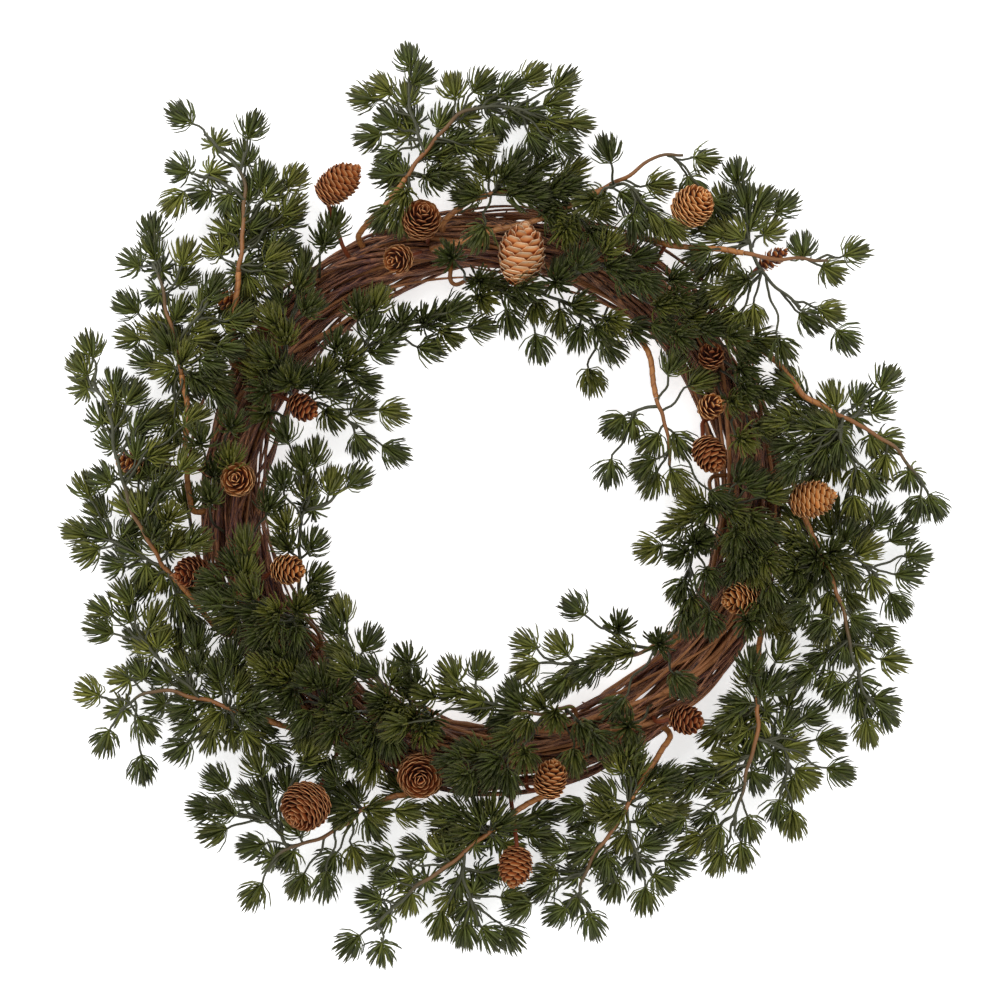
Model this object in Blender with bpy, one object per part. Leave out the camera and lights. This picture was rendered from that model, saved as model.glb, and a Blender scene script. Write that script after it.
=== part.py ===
"""Evergreen wreath: a ring of twisted vine canes, needle sprays tucked into it, and cones.

The wreath lies flat on its back, +Z up out of its face and +Y towards its top. Places round the
ring are given as on a clock face: degrees clockwise from the top, then millimetres from the
ring's centre, then millimetres above the surface that the wreath lies on.
"""
import math
import random

import bmesh
import bpy
import numpy as np

MM = 0.001

# The vine ring, in millimetres.
RING_RADIUS = 178.0
RING_HALF_WIDTH = 23.0
RING_HALF_HEIGHT = 19.5
RING_MIDDLE = 19.5
CANE_RELIEF = 4.5
CANES = 6
CANE_TURNS = 2
RING_STEPS = 34
RING_WANDER = 1.5
CANE_WANDER = 0.8
RING_SHIFT = (-9.3, 4.5)

# Woody stems, leafy branches, twigs and cone stalks: radii in millimetres, and numbers of sides.
WOOD_RADIUS, WOOD_SIDES = 2.4, 5
BRANCH_RADIUS, BRANCH_SIDES = 1.9, 4
SIDE_BRANCH_RADIUS = 1.5
BRANCH_TIP_RADIUS = 1.2
TWIG_RADIUS, TWIG_SIDES = 1.15, 3
STALK_RADIUS, STALK_SIDES = 1.5, 3
SOCKET_DEPTH = 8.0
MOUTH_HEIGHT = 6.5
FACE_GAP = 0.3
CURVE_STEP = 18.0
STALK_STEP = 12.0
FIRST_RUN = 6.0
LIFTS = (0, 4, -4, 8, -8, 12, -12, 16, -16, 20, 24, 28)

# A tuft: three-sided needles pulled out of the faces of a small bud.
NEEDLE_LENGTH = 18.5
NEEDLE_RADIUS = 0.5
NEEDLE_SPREAD = (38.0, 64.0)
NEEDLE_SWING = 8.0
NEEDLE_GROWTH = (0.9, 1.08)
BUD_RADIUS = 1.5
BUD_LENGTH = 2.4
TUFT_SETBACK = 8.5

# A twig leaves its branch where it is short and need not turn back. A short one is straight, and
# a long one first runs along the branch, for a share of its reach. Its root slides between two
# points of the branch, so that the twigs spread along it.
TWIG_LEAVE = (0.15, 0.5)
ROOT_SLIDE = (0.25, 0.75)
STRAIGHT_TWIG = 60.0
SHORTEST_TWIG = 9.0
SHORTEST_REACH = 10.0
TURN_BACK_COST = 1.3
LAST_RESORT = 200.0

# Gaps kept free, in millimetres: between rods of different nodes, between a needle and another
# node, and between a needle and its own node, where a crossing is allowed but costs faces.
ROD_CLEARANCE = 0.9
NEEDLE_CLEARANCE = 0.8
OWN_CLEARANCE = 0.5
RING_CLEARANCE = 0.6
FLOOR_CLEARANCE = 1.0
NEAR = 65.0

# A tuft tries several random heights, roots and spins. Its score is its number of clear needles,
# less the costs below, and it is laid if the best try scores enough.
TRIES = 30
TRY_COST = 0.04
CROSSING_COST = 0.5
TWIG_CROSSING_COST = 0.8
FREE_TWIG_CROSSINGS = 1
FEWEST_NEEDLES = 5
GOOD_SCORE = 6.2
LOWEST_SCORE = 4.8

# Tuft heights form a low dome, highest over the ring.
DOME_EDGE = 31.0
DOME_RISE = 44.0
DOME_WIDTH = 62.0
DOME_WANDER = 8.0
WANDER_PER_TRY = 0.9
CLOCK_WANDER_PER_TRY = 0.1

# Sprays with a woody butt. butt: where it leaves the ring, as a clock angle and the direction
# round the ring's section (0 outward, 90 up, 180 inward). stem: the woody stretch. branches:
# leafy branches, the first carrying on from the woody stem and the others leaving the first.
# tufts: the middle of each tuft, as a clock angle and a radius.
WOODY_SPRAYS = {
    "upper_left": dict(
        butt=(298, 45), stem=((306, 215, 53), (312, 231, 55)),
        branches=(((317, 248, 56), (320.5, 264, 56), (322.5, 281, 53), (322.3, 300, 49), (321.8, 317, 46)),
                  ((324.6, 290, 55),),
                  ((319.5, 286, 51), (317.6, 300, 48))),
        tufts=((321, 340), (322, 311), (327.4, 304), (316.7, 312), (325.3, 267), (329, 256), (320, 247),
               (326.6, 240), (314.5, 232))),
    "left_upper": dict(
        butt=(268, 35), stem=((277, 210, 51), (286.6, 216, 54), (292, 227, 55)),
        branches=(((295.5, 238, 56), (299.5, 252, 56), (303, 268, 53), (305, 282, 49)),
                  ((299, 236, 64), (305, 234, 67))),
        tufts=((308.9, 299), (309.6, 266), (302.8, 295), (303, 273), (309, 239), (296.5, 260),
               (301.6, 245), (299.4, 224), (292.6, 243), (294.5, 208), (306.5, 205))),
    "left": dict(
        butt=(243, 35), stem=((251, 214, 51), (257, 224, 54)),
        branches=(((264, 236, 55), (271, 248, 55), (278, 258, 53), (284, 270, 49), (286.5, 283, 46)),
                  ((262, 248, 50), (264.6, 268, 46))),
        tufts=((287.7, 295), (287.5, 268), (281.5, 276), (287, 252), (272.5, 279), (269.3, 249),
               (265.6, 287), (278.5, 236), (284.5, 235), (271.5, 226), (286, 205), (278, 203))),
    "left_lower": dict(
        butt=(219, 35), stem=((226, 214, 51), (231, 226, 54)),
        branches=(((236, 240, 55), (239.5, 256, 54), (241, 274, 50), (240.5, 291, 46)),
                  ((243, 248, 58), (249, 257, 55))),
        tufts=((245, 307), (240.5, 289), (237.8, 314), (232.1, 300), (230.8, 275), (254.7, 279),
               (256.5, 257), (249.5, 263), (245, 277), (247, 239), (241, 222), (240, 200))),
    "lower_left": dict(
        butt=(191, 40), stem=((198, 212, 50), (202, 226, 48)),
        branches=(((204.5, 243, 43), (207, 260, 41), (210.5, 275, 42), (211.3, 297, 42)),
                  ((214, 266, 42), (219, 275, 46))),
        tufts=((223.5, 290), (219.5, 300), (215.3, 289), (211, 318), (207.5, 298), (203, 290),
               (221, 262), (222, 238), (215, 206))),
    "bottom": dict(
        butt=(168, 40), stem=((175, 211, 50), (180, 224, 53)),
        branches=(((184.5, 240, 55), (188.5, 256, 54), (192, 274, 50), (194.5, 292, 46), (195.5, 303, 44)),
                  ((184, 262, 49), (182.5, 280, 45))),
        tufts=((198.4, 318), (197.2, 281), (192.9, 318), (187.8, 293), (190.1, 266), (183.5, 279),
               (180.1, 301), (198, 252), (187, 231), (182, 208))),
    "lower_right": dict(
        butt=(143, 40), stem=((150, 212, 51), (155, 224, 54)),
        branches=(((160, 238, 55), (164, 252, 53), (167, 267, 49), (167.5, 281, 46)),
                  ((157.5, 248, 50), (158, 266, 46))),
        tufts=((177.1, 279), (171.7, 286), (169, 264), (163.5, 279), (165.9, 298), (158.9, 296),
               (152.2, 277), (170.5, 239), (161, 225))),
    "right_bottom": dict(
        butt=(115, 40), stem=((122, 213, 51), (127, 226, 54)),
        branches=(((132, 241, 55), (137, 254, 53), (141, 266, 49), (143.5, 276, 46)),
                  ((130.5, 258, 49), (132.5, 277, 45))),
        tufts=((148.5, 292), (147, 272), (142, 251), (140.8, 286), (137.5, 304), (133.9, 285),
               (129.5, 304), (124.9, 285), (147, 231), (134, 227), (126, 253), (151.5, 250))),
    "right_lower": dict(
        butt=(86, 35), stem=((93, 213, 51), (99, 225, 54)),
        branches=(((104, 240, 55), (109, 254, 53), (113.5, 268, 49), (117, 283, 46), (118.3, 296, 44)),
                  ((99.5, 250, 50), (101, 268, 46))),
        tufts=((118.6, 309), (119, 288), (119.5, 266), (111.6, 298), (112.8, 274), (105, 288),
               (100, 291), (94.4, 283), (97, 260), (112.5, 241), (109, 219), (104, 203))),
    "right_upper": dict(
        butt=(57, 35), stem=((65, 216, 51), (72, 225, 54), (75.8, 240, 54)),
        branches=(((77.8, 252, 54), (80.6, 266, 51), (83.2, 278, 48), (86.3, 289, 46), (89, 297, 44)),
                  ((80.5, 240, 61), (84.5, 250, 58))),
        tufts=((91.3, 303), (87.2, 285), (87.5, 262), (81.5, 273), (76, 272), (92, 243), (83, 221),
               (77.5, 228), (84, 199))),
    "upper_right": dict(
        butt=(27, 35), stem=((35, 211, 51), (41, 226, 54), (45.5, 239, 54)),
        branches=(((48.8, 250, 52), (51.5, 263, 49), (54.5, 281, 46)),
                  ((43.5, 251, 50), (42.2, 263, 48)),
                  ((52.5, 240, 58), (58, 247, 56))),
        tufts=((55.3, 301), (51.5, 277), (57.2, 278), (46.4, 267), (39, 265), (42.3, 279),
               (61, 266), (60.5, 247), (65.3, 267), (45.6, 223), (55.2, 212), (64, 218))),
    "top_right": dict(
        butt=(347, 95),
        stem=((353, 177, 57), (1, 183, 61), (10, 194.5, 62), (15.5, 209, 61), (19.5, 224, 59)),
        branches=(((23.5, 244, 56), (26, 260, 53), (29, 268, 51)),
                  ((22.5, 231, 65), (25.5, 231, 67))),
        tufts=((32.2, 274), (30, 241), (26.6, 219), (16, 251), (38.5, 247))),
    "top": dict(
        butt=(333, 40), stem=((340, 213, 51), (345, 226, 54)),
        branches=(((349, 240, 55), (352.5, 254, 54), (356.5, 265, 53), (1.5, 268, 52), (6, 263, 50)),
                  ((348.6, 258, 50), (348, 275, 47), (348.8, 290, 45))),
        tufts=((349.5, 309), (344.8, 295), (343.9, 269), (354.5, 245), (343.4, 241), (359.6, 236),
               (2.1, 284), (10, 294), (9.8, 262), (12, 241), (354, 285), (354, 221))),
    "top_face": dict(
        butt=(350, 65), stem=((355, 203, 50), (359, 207, 50)),
        branches=(((5, 210, 50), (11, 211, 50), (17, 208, 50)),),
        tufts=((1.5, 221), (7, 216), (14.5, 220), (7.8, 237), (15, 235), (21.5, 210), (20.5, 188))),
    "inner_right_upper": dict(
        butt=(40, 150), stem=((46, 147, 53), (52, 138, 53), (58, 131.5, 52)),
        branches=(((64, 130, 51), (71, 127, 50), (79, 123, 48)),
                  ((59, 121, 49), (58, 109, 47))),
        tufts=((57.8, 95), (68.6, 111), (79, 84), (74, 103), (84, 106), (83, 128), (90, 158))),
}

# Sprays that reach in round the hole and over the face: leafy from where they leave the ring.
LEAFY_SPRAYS = {
    "inner_upper_left": dict(
        butt=(288, 150),
        branches=(((296, 150, 55), (305, 140, 56), (314, 134, 56), (324, 134, 55), (334, 131, 53),
                   (342, 126, 51)),
                  ((299, 134, 50), (299.5, 119, 48), (298, 104, 46)),
                  ((301, 164, 58), (308, 177, 60), (314, 187, 58))),
        tufts=((325, 144), (334, 137), (345.1, 131), (345, 114), (352, 131), (315, 130), (312, 113),
               (314.5, 91), (303.5, 104), (296, 123), (290.5, 97), (296, 71), (303, 182),
               (310, 195), (317, 176), (319, 197))),
    "inner_left": dict(
        butt=(230, 150),
        branches=(((239, 150, 55), (248, 141, 56), (258, 134, 55), (267, 128, 53), (276, 123, 51)),
                  ((268, 116, 48), (273, 105, 46)),
                  ((240, 163, 58), (247, 175, 60), (253, 181, 58))),
        tufts=((280.2, 91), (286, 124), (278, 112), (268, 117), (264, 145), (254.6, 121), (242, 134),
               (275, 147), (289, 151), (243, 182), (250, 195), (257, 176))),
    "inner_lower_left": dict(
        butt=(196, 150),
        branches=(((204, 151, 55), (213, 145, 56), (222, 140, 54), (230, 134, 51)),
                  ((208, 163, 58), (215, 174, 60), (223, 181, 60), (230, 184, 58))),
        tufts=((235, 124), (220.7, 124), (226, 148), (211.5, 134), (206, 117), (209, 183), (217, 190),
               (226, 170), (231, 199), (235, 176))),
    "inner_bottom": dict(
        butt=(159, 150),
        branches=(((166, 150, 55), (174, 143, 55), (182, 138, 53), (189, 132, 51)),
                  ((173, 163, 58), (179, 174, 60), (185, 181, 58))),
        tufts=((194, 116), (183.6, 111), (199, 143), (178, 157), (180, 191), (185, 166), (188, 188),
               (204, 168))),
    "inner_lower_right": dict(
        butt=(127, 150),
        branches=(((133, 148, 53), (140, 138, 53), (148, 128, 51), (156, 121, 49), (163, 116, 47)),
                  ((137.5, 131, 49), (138.5, 114, 47))),
        tufts=((166.5, 97), (169.5, 117), (153, 108), (150.5, 139), (143.5, 91), (134.5, 116), (162, 138),
               (150, 166))),
    "inner_right_lower": dict(
        butt=(84, 150),
        branches=(((91, 149, 53), (98, 143, 53), (106, 141, 52), (114, 143, 50)),
                  ((93, 163, 58), (99, 175, 60), (104, 182, 58))),
        tufts=((98, 121), (106.5, 108), (108, 132), (116.5, 140), (122.5, 156), (92, 132), (96, 189),
               (100, 163), (103, 195), (120, 172), (110, 158))),
    "inner_top": dict(
        butt=(350, 150),
        branches=(((357, 151, 53), (5, 146, 54), (14, 144, 54), (23, 144, 53), (31, 141, 50)),
                  ((18, 159, 57), (23, 171, 58), (27, 181, 57))),
        tufts=((5, 118), (16.5, 105), (27, 122), (39.3, 127), (36, 146), (11.5, 130), (357, 131),
               (32, 170), (20, 173), (45, 168), (25, 193))),
}

# Cones: clock angle, radius and height of the middle; length and width; the clock heading that
# the tip points to and its lift above level; where the stalk enters the ring's section.
CONES = (
    (334.5, 238, 70, 36, 26, 52, 12, 45),
    (346, 196, 69, 27, 28, 20, 58, 80),
    (338.5, 175, 65, 22, 21, 250, 60, 95),
    (6.9, 170, 68, 42, 33, 6, 24, 120),
    (34.4, 242, 66, 31, 29, 50, 35, 45),
    (307, 226, 50, 22, 17, 300, 15, 20),
    (276, 249, 46, 21, 17, 290, 20, 10),
    (274.7, 173, 65, 24, 25, 300, 82, 90),
    (296, 142, 58, 23, 20, 120, 20, 140),
    (256.6, 211, 60, 25, 22, 250, 35, 60),
    (251, 145, 63, 25, 22, 95, 25, 130),
    (211.4, 244, 68, 33, 35, 225, 38, 45),
    (194.6, 193, 68, 29, 32, 160, 80, 80),
    (168, 192, 64, 29, 24, 12, 22, 90),
    (176.4, 250, 60, 29, 25, 190, 18, 35),
    (111.7, 180, 65, 28, 24, 255, 28, 90),
    (89.8, 218, 64, 33, 27, 78, 12, 60),
    (78.6, 151, 62, 28, 24, 150, 30, 120),
    (66.8, 162, 62, 20, 18, 60, 50, 100),
    (56.5, 178, 60, 20, 19, 0, 50, 90),
    (138.3, 200, 57, 25, 22, 100, 30, 70),
    (49.3, 253, 38, 26, 14, 60, 5, 10),
)
PALE_CONE_NAME = "cone_04"
CONE_SIDES = 6
SCALE_PITCH = 12.0
SCALE_HOLLOW = 0.70
STALK_IN_CONE = 0.12

# A stalk may enter the ring a little to either side of its cone, and its choice is scored in
# millimetres: its length, less what a straight run into the cone is worth, plus what it costs to
# shift along the ring or to graze it.
STALK_TURNS = (0, -5, 5, -9, 9, -13, 13)
STALK_SWINGS = (0, 20, -20, 40, -40)
STALK_CLEARANCE = 1.35
STRAIGHT_WORTH = 25.0
TURN_COST = 0.4
GRAZE_COST = 40.0

# Needles keep off a cone's body, a rod of half its length, and off the view down to an upper one.
CONE_CORE = 0.28
SEEN_CONE_HEIGHT = 57.0
SEEN_CONE_WIDTH = 0.36
CONE_SHADE = 60.0

BARK = ("vine bark", (0.105, 0.040, 0.026), 0.75)
WOOD = ("wrapped stem", (0.300, 0.125, 0.045), 0.8)
LEAF = ("needles", (0.045, 0.080, 0.028), 0.6)
CONE = ("cone scale", (0.330, 0.125, 0.045), 0.7)
PALE_CONE = ("pale cone scale", (0.540, 0.330, 0.180), 0.7)


# ---- places and curves ----

def at(clock, radius, height):
    """The point at a clock angle, a radius and a height, in millimetres from the ring's centre."""
    turn = math.radians(clock)
    return np.array((radius * math.sin(turn), radius * math.cos(turn), height))


def unit(vector):
    return vector / np.linalg.norm(vector)


def ring_surface(clock, section, off=0.0):
    """A point off the ring's surface, in the direction 'section' round its cross-section."""
    way = math.radians(section)
    across = RING_HALF_WIDTH + 0.5 * CANE_RELIEF
    tall = RING_HALF_HEIGHT + 0.5 * CANE_RELIEF
    normal = unit(np.array((math.cos(way) / across, math.sin(way) / tall)))
    place = np.array((RING_RADIUS + across * math.cos(way), RING_MIDDLE + tall * math.sin(way)))
    place = place + off * normal
    return at(clock, place[0], place[1])


def smooth(points, step):
    """Points along a Catmull-Rom curve through the given ones, about a step apart."""
    line = [2 * points[0] - points[1], *points, 2 * points[-1] - points[-2]]
    curve = [points[0]]
    for a, b, c, d in zip(line, line[1:], line[2:], line[3:]):
        count = max(1, round(np.linalg.norm(c - b) / step))
        for i in range(1, count + 1):
            t = i / count
            curve.append(0.5 * (2 * b + (c - a) * t + (2 * a - 5 * b + 4 * c - d) * t * t
                                + (3 * b - a - 3 * c + d) * t ** 3))
    return np.array(curve)


def frame_along(curve, spin=0.0):
    """A pair of cross directions at each point, carried along the curve without twisting."""
    runs = np.diff(curve, axis=0)
    runs = runs / np.linalg.norm(runs, axis=1)[:, None]
    ways = [runs[0]] + [unit(a + b) for a, b in zip(runs, runs[1:])] + [runs[-1]]
    side = unit(np.cross(ways[-1], (0.0, 0.0, 1.0) if abs(ways[-1][2]) < 0.9 else (1.0, 0.0, 0.0)))
    side = side * math.cos(spin) + np.cross(ways[-1], side) * math.sin(spin)
    frames = []
    for way in reversed(ways):
        side = unit(side - way * (side @ way))
        frames.append((side, np.cross(way, side)))
    return frames[::-1]


# ---- keeping pieces apart ----

class Ledger:
    """The rods laid so far and the node each belongs to, to keep different nodes apart."""

    def __init__(self):
        self.ends = np.zeros((0, 2, 3))
        self.radii = np.zeros(0)
        self.owners = np.zeros(0, dtype=int)
        self.names = []

    def number(self, name):
        if name not in self.names:
            self.names.append(name)
        return self.names.index(name)

    def add(self, name, curve, radius):
        rods = np.stack((curve[:-1], curve[1:]), axis=1)
        self.ends = np.concatenate((self.ends, rods))
        self.radii = np.concatenate((self.radii, np.full(len(rods), radius)))
        self.owners = np.concatenate((self.owners, np.full(len(rods), self.number(name))))

    def all_gaps(self, rods, radius, wanted):
        """The gap from each rod to each wanted rod that is near enough to matter."""
        middle = rods.mean(axis=(0, 1))
        reach = np.linalg.norm(rods - middle, axis=2).max() + NEAR
        near = wanted & (np.linalg.norm(self.ends.mean(axis=1) - middle, axis=1) < reach)
        if not near.any():
            return np.full((len(rods), 1), NEAR)
        a0, a1 = rods[:, None, 0], rods[:, None, 1]
        b0, b1 = self.ends[None, near, 0], self.ends[None, near, 1]
        return rod_distance(a0, a1, b0, b1) - radius - self.radii[None, near]

    def gaps(self, name, rods, radius, spare=None):
        """For each rod, its smallest gap to the other nodes, a spared one left out."""
        wanted = self.owners != self.number(name)
        if spare:
            wanted &= self.owners != self.number(spare)
        return self.all_gaps(rods, radius, wanted).min(axis=1)

    def crossings(self, name, rods, radius):
        """For each rod, how many rods of its own node it runs into."""
        return (self.all_gaps(rods, radius, self.owners == self.number(name)) < OWN_CLEARANCE).sum(axis=1)


def rod_distance(a0, a1, b0, b1):
    """The shortest distance between straight rods, given by their ends."""
    u, v, w = a1 - a0, b1 - b0, a0 - b0
    uu, uv, vv = (u * u).sum(-1), (u * v).sum(-1), (v * v).sum(-1)
    uw, vw = (u * w).sum(-1), (v * w).sum(-1)
    spread = np.maximum(uu * vv - uv * uv, 1e-9)
    s = np.clip((uv * vw - vv * uw) / spread, 0.0, 1.0)
    t = np.clip((uv * s + vw) / np.maximum(vv, 1e-9), 0.0, 1.0)
    s = np.clip((uv * t - uw) / np.maximum(uu, 1e-9), 0.0, 1.0)
    gap = w + s[..., None] * u - t[..., None] * v
    return np.sqrt((gap * gap).sum(-1))


def rods_of(curve):
    return np.stack((curve[:-1], curve[1:]), axis=1)


def clear_of_ring(rods, radius):
    """For each rod, whether it stays outside the ring's section and above the floor."""
    t = np.linspace(0.0, 1.0, 5)[None, :, None]
    points = rods[:, None, 0] * (1 - t) + rods[:, None, 1] * t
    grow = CANE_RELIEF + radius + RING_CLEARANCE
    out = (np.hypot(points[..., 0], points[..., 1]) - RING_RADIUS) / (RING_HALF_WIDTH + grow)
    up = (points[..., 2] - RING_MIDDLE) / (RING_HALF_HEIGHT + grow)
    return ((out ** 2 + up ** 2 > 1.0) & (points[..., 2] > radius + FLOOR_CLEARANCE)).all(axis=1)


def fits(ledger, name, curve, radius, free_start=0, spare=None):
    """Whether a curve is clear of the other nodes, and of the ring past its first rods."""
    rods = rods_of(curve)
    if (ledger.gaps(name, rods, radius, spare) < ROD_CLEARANCE).any():
        return False
    return bool(clear_of_ring(rods[free_start:], radius).all())


def settle(ledger, name, route, radius, fixed, free_start=0, spare=None):
    """The route's smooth curve, raised or lowered past its fixed points until it is clear."""
    for lift in LIFTS:
        moved = [point + np.array((0.0, 0.0, lift if i >= fixed else 0.0)) for i, point in enumerate(route)]
        curve = smooth(moved, CURVE_STEP)
        if fits(ledger, name, curve, radius, free_start, spare):
            return curve
    raise ValueError(f"{name} has no clear way")


# ---- meshes ----

def tube(curve, radii, sides, spin=0.0):
    """Vertices and faces of a closed tube along a curve, with flat ends."""
    points = []
    for place, (side, up), radius in zip(curve, frame_along(curve, spin), radii):
        for k in range(sides):
            turn = math.tau * k / sides
            points.append(place + radius * (math.cos(turn) * side + math.sin(turn) * up))
    faces = [tuple(range(sides))[::-1]]
    for ring in range(len(curve) - 1):
        for k in range(sides):
            a, b = ring * sides + k, ring * sides + (k + 1) % sides
            faces.append((a, b, b + sides, a + sides))
    faces.append(tuple(range((len(curve) - 1) * sides, len(curve) * sides)))
    return points, faces


def even_tube(curve, radius, sides):
    return tube(curve, np.full(len(curve), radius), sides)


def tapered_tube(curve, radius, sides):
    return tube(curve, np.linspace(radius, BRANCH_TIP_RADIUS, len(curve)), sides)


def sleeve(curve, radius, sides):
    """A straight prism round a stem's foot, a small gap larger all round, that cuts its socket."""
    way = unit(curve[1] - curve[0])
    side, up = frame_along(curve)[0]
    wide = radius + FACE_GAP / math.cos(math.pi / sides)
    points = []
    for place in (curve[0] - FACE_GAP * way, curve[0] + (SOCKET_DEPTH + 2 * CANE_RELIEF) * way):
        for k in range(sides):
            turn = math.tau * k / sides
            points.append(place + wide * (math.cos(turn) * side + math.sin(turn) * up))
    faces = [tuple(range(sides))[::-1], tuple(range(sides, 2 * sides))]
    faces += [(k, (k + 1) % sides, (k + 1) % sides + sides, k + sides) for k in range(sides)]
    return points, faces


def needle_ways(way, side, up, swing):
    """The directions of a tuft's seven needles: one forward, three leaning and three spread."""
    ways = []
    for group, (first, lean) in enumerate(zip((60, 0), NEEDLE_SPREAD)):
        for k in range(3):
            turn = math.radians(first + 120 * k)
            tilt = math.radians(lean + swing[3 * group + k])
            across = math.cos(turn) * side + math.sin(turn) * up
            ways.append(math.cos(tilt) * way + math.sin(tilt) * across)
    return [*ways, way]


def tuft(curve, spin, lengths, swing):
    """A three-sided twig along a curve that ends in a bud whose faces are pulled into needles."""
    frames = frame_along(curve, spin)
    way = unit(curve[-1] - curve[-2])
    side, up = frames[-1]
    points, faces = tube(curve, np.full(len(curve), TWIG_RADIUS), 3, spin)
    faces.pop()
    low = [len(points) - 3 + k for k in range(3)]
    high = [len(points) + k for k in range(3)]
    for k in range(3):
        turn = math.radians(60 + 120 * k)
        across = math.cos(turn) * side + math.sin(turn) * up
        points.append(curve[-1] + BUD_LENGTH * way + BUD_RADIUS * across)
    corners = [(low[k], low[(k + 1) % 3], high[k]) for k in range(3)]
    corners += [(low[k], high[k], high[(k + 2) % 3]) for k in range(3)]
    corners.append(tuple(high))
    for face, needle, length in zip(corners, needle_ways(way, side, up, swing), lengths):
        if not length:
            faces.append(face)
            continue
        middle = sum(points[i] for i in face) / 3
        faces.extend((a, b, len(points)) for a, b in zip(face, face[1:] + face[:1]))
        points.append(middle + length * needle)
    return points, faces


def new_object(name, points, faces, material):
    mesh = bpy.data.meshes.new(name)
    place = np.array((RING_SHIFT[0], RING_SHIFT[1], 0.0))
    mesh.from_pydata([tuple((point + place) * MM) for point in points], [], faces)
    mesh.materials.append(material)
    shape = bmesh.new()
    shape.from_mesh(mesh)
    bmesh.ops.recalc_face_normals(shape, faces=shape.faces)
    shape.to_mesh(mesh)
    shape.free()
    piece = bpy.data.objects.new(name, mesh)
    bpy.context.scene.collection.objects.link(piece)
    return piece


def principled(name, colour, roughness):
    material = bpy.data.materials.new(name)
    material.use_nodes = True
    shader = material.node_tree.nodes["Principled BSDF"]
    shader.inputs["Base Color"].default_value = (*colour, 1.0)
    shader.inputs["Roughness"].default_value = roughness
    return material


def combine(piece, others, operation="UNION"):
    """Join others to a piece, or cut them from it, and drop them."""
    group = bpy.data.collections.new(piece.name + "_repeats")
    for other in others:
        group.objects.link(other)
        bpy.context.scene.collection.objects.unlink(other)
    bpy.context.scene.collection.children.link(group)
    boolean = piece.modifiers.new("combine", "BOOLEAN")
    boolean.operation = operation
    boolean.operand_type = "COLLECTION"
    boolean.collection = group
    boolean.solver = "EXACT"
    whole = piece.evaluated_get(bpy.context.evaluated_depsgraph_get())
    mesh = bpy.data.meshes.new_from_object(whole)
    mesh.name = piece.name
    piece.modifiers.clear()
    piece.data = mesh
    for other in others:
        bpy.data.objects.remove(other)
    bpy.data.collections.remove(group)


# ---- the ring ----

def ring_points():
    """The bundle's surface: canes as rounded ridges that wind round it, cut flat underneath."""
    section = 3 * CANES
    points = []
    for step in range(RING_STEPS):
        clock = 360.0 * step / RING_STEPS
        turn = math.radians(clock)
        middle = RING_RADIUS + RING_WANDER * math.sin(3 * turn + 0.6)
        for k in range(section):
            way = math.tau * (k / section + CANE_TURNS * step / RING_STEPS)
            relief = (-0.5, 0.5, 0.5)[k % 3] * CANE_RELIEF + CANE_WANDER * math.sin(5 * turn + k)
            radius = middle + (RING_HALF_WIDTH + relief) * math.cos(way)
            height = RING_MIDDLE + (RING_HALF_HEIGHT + relief) * math.sin(way)
            points.append(at(clock, radius, max(height, 0.0)))
    return points, section


def build_ring(sockets):
    points, section = ring_points()
    faces = []
    for step in range(RING_STEPS):
        here, there = step * section, (step + 1) % RING_STEPS * section
        for k in range(section):
            nxt = (k + 1) % section
            faces += [(here + k, there + k, there + nxt), (here + k, there + nxt, here + nxt)]
    ring = new_object("vine_ring", points, faces, principled(*BARK))
    cutters = [new_object("socket", *sleeve(*socket), ring.data.materials[0]) for socket in sockets]
    combine(ring, cutters, "DIFFERENCE")


# ---- cones ----

def cone_shape(place, way, length, width, spin):
    """A cone of open scales: rings of teeth by turns with narrower rings between them."""
    rows = max(5, 2 * round(length / SCALE_PITCH) + 1)
    side = unit(np.cross(way, (0.31, 0.22, 0.93)))
    up = np.cross(way, side)
    points = [place - 0.5 * length * way]
    for row in range(rows):
        t = (row + 0.6) / (rows + 0.2)
        girth = 0.5 * width * math.sin(math.pi * (0.12 + 0.80 * t) ** 0.85) ** 0.6
        teeth = row % 2 == 0
        radius = girth * (1.0 if teeth else SCALE_HOLLOW)
        along = (t - 0.5 + (0.03 if teeth else 0.0)) * length
        for k in range(CONE_SIDES):
            turn = math.tau * (k + 0.5 * (row % 2) + 0.25 * (row // 2)) / CONE_SIDES + spin
            across = math.cos(turn) * side + math.sin(turn) * up
            points.append(place + along * way + radius * across)
    points.append(place + 0.5 * length * way)
    faces = [(0, 1 + (k + 1) % CONE_SIDES, 1 + k) for k in range(CONE_SIDES)]
    for row in range(rows - 1):
        base = 1 + row * CONE_SIDES
        for k in range(CONE_SIDES):
            a, b = base + k, base + (k + 1) % CONE_SIDES
            c, d = a + CONE_SIDES, b + CONE_SIDES
            # The next ring stands half a tooth on above the teeth, and a quarter back above the rest.
            faces += [(a, b, c), (b, d, c)] if row % 2 == 0 else [(a, d, c), (a, b, d)]
    last = 1 + (rows - 1) * CONE_SIDES
    faces += [(last + k, last + (k + 1) % CONE_SIDES, len(points) - 1) for k in range(CONE_SIDES)]
    return points, faces


def choose_stalk(ledger, name, clock, section, base, way):
    """The clear stalk that leads best from a cone's base into the ring."""
    best = None
    for turn in STALK_TURNS:
        for swing in STALK_SWINGS:
            root = ring_surface(clock + turn, section + swing, -SOCKET_DEPTH)
            mouth = ring_surface(clock + turn, section + swing, MOUTH_HEIGHT)
            stalk = smooth([root, mouth, base], STALK_STEP)
            rods = rods_of(stalk)
            if (ledger.gaps(name, rods, STALK_RADIUS) < STALK_CLEARANCE).any():
                continue
            run = stalk[-1] - mouth
            score = np.linalg.norm(run) - STRAIGHT_WORTH * (unit(run) @ way) + TURN_COST * abs(turn)
            if not clear_of_ring(rods[1:], STALK_RADIUS).all():
                score += GRAZE_COST
            if best is None or score < best[0]:
                best = (score, stalk)
    if best is None:
        raise ValueError(f"{name} has no clear stalk")
    return best[1]


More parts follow.
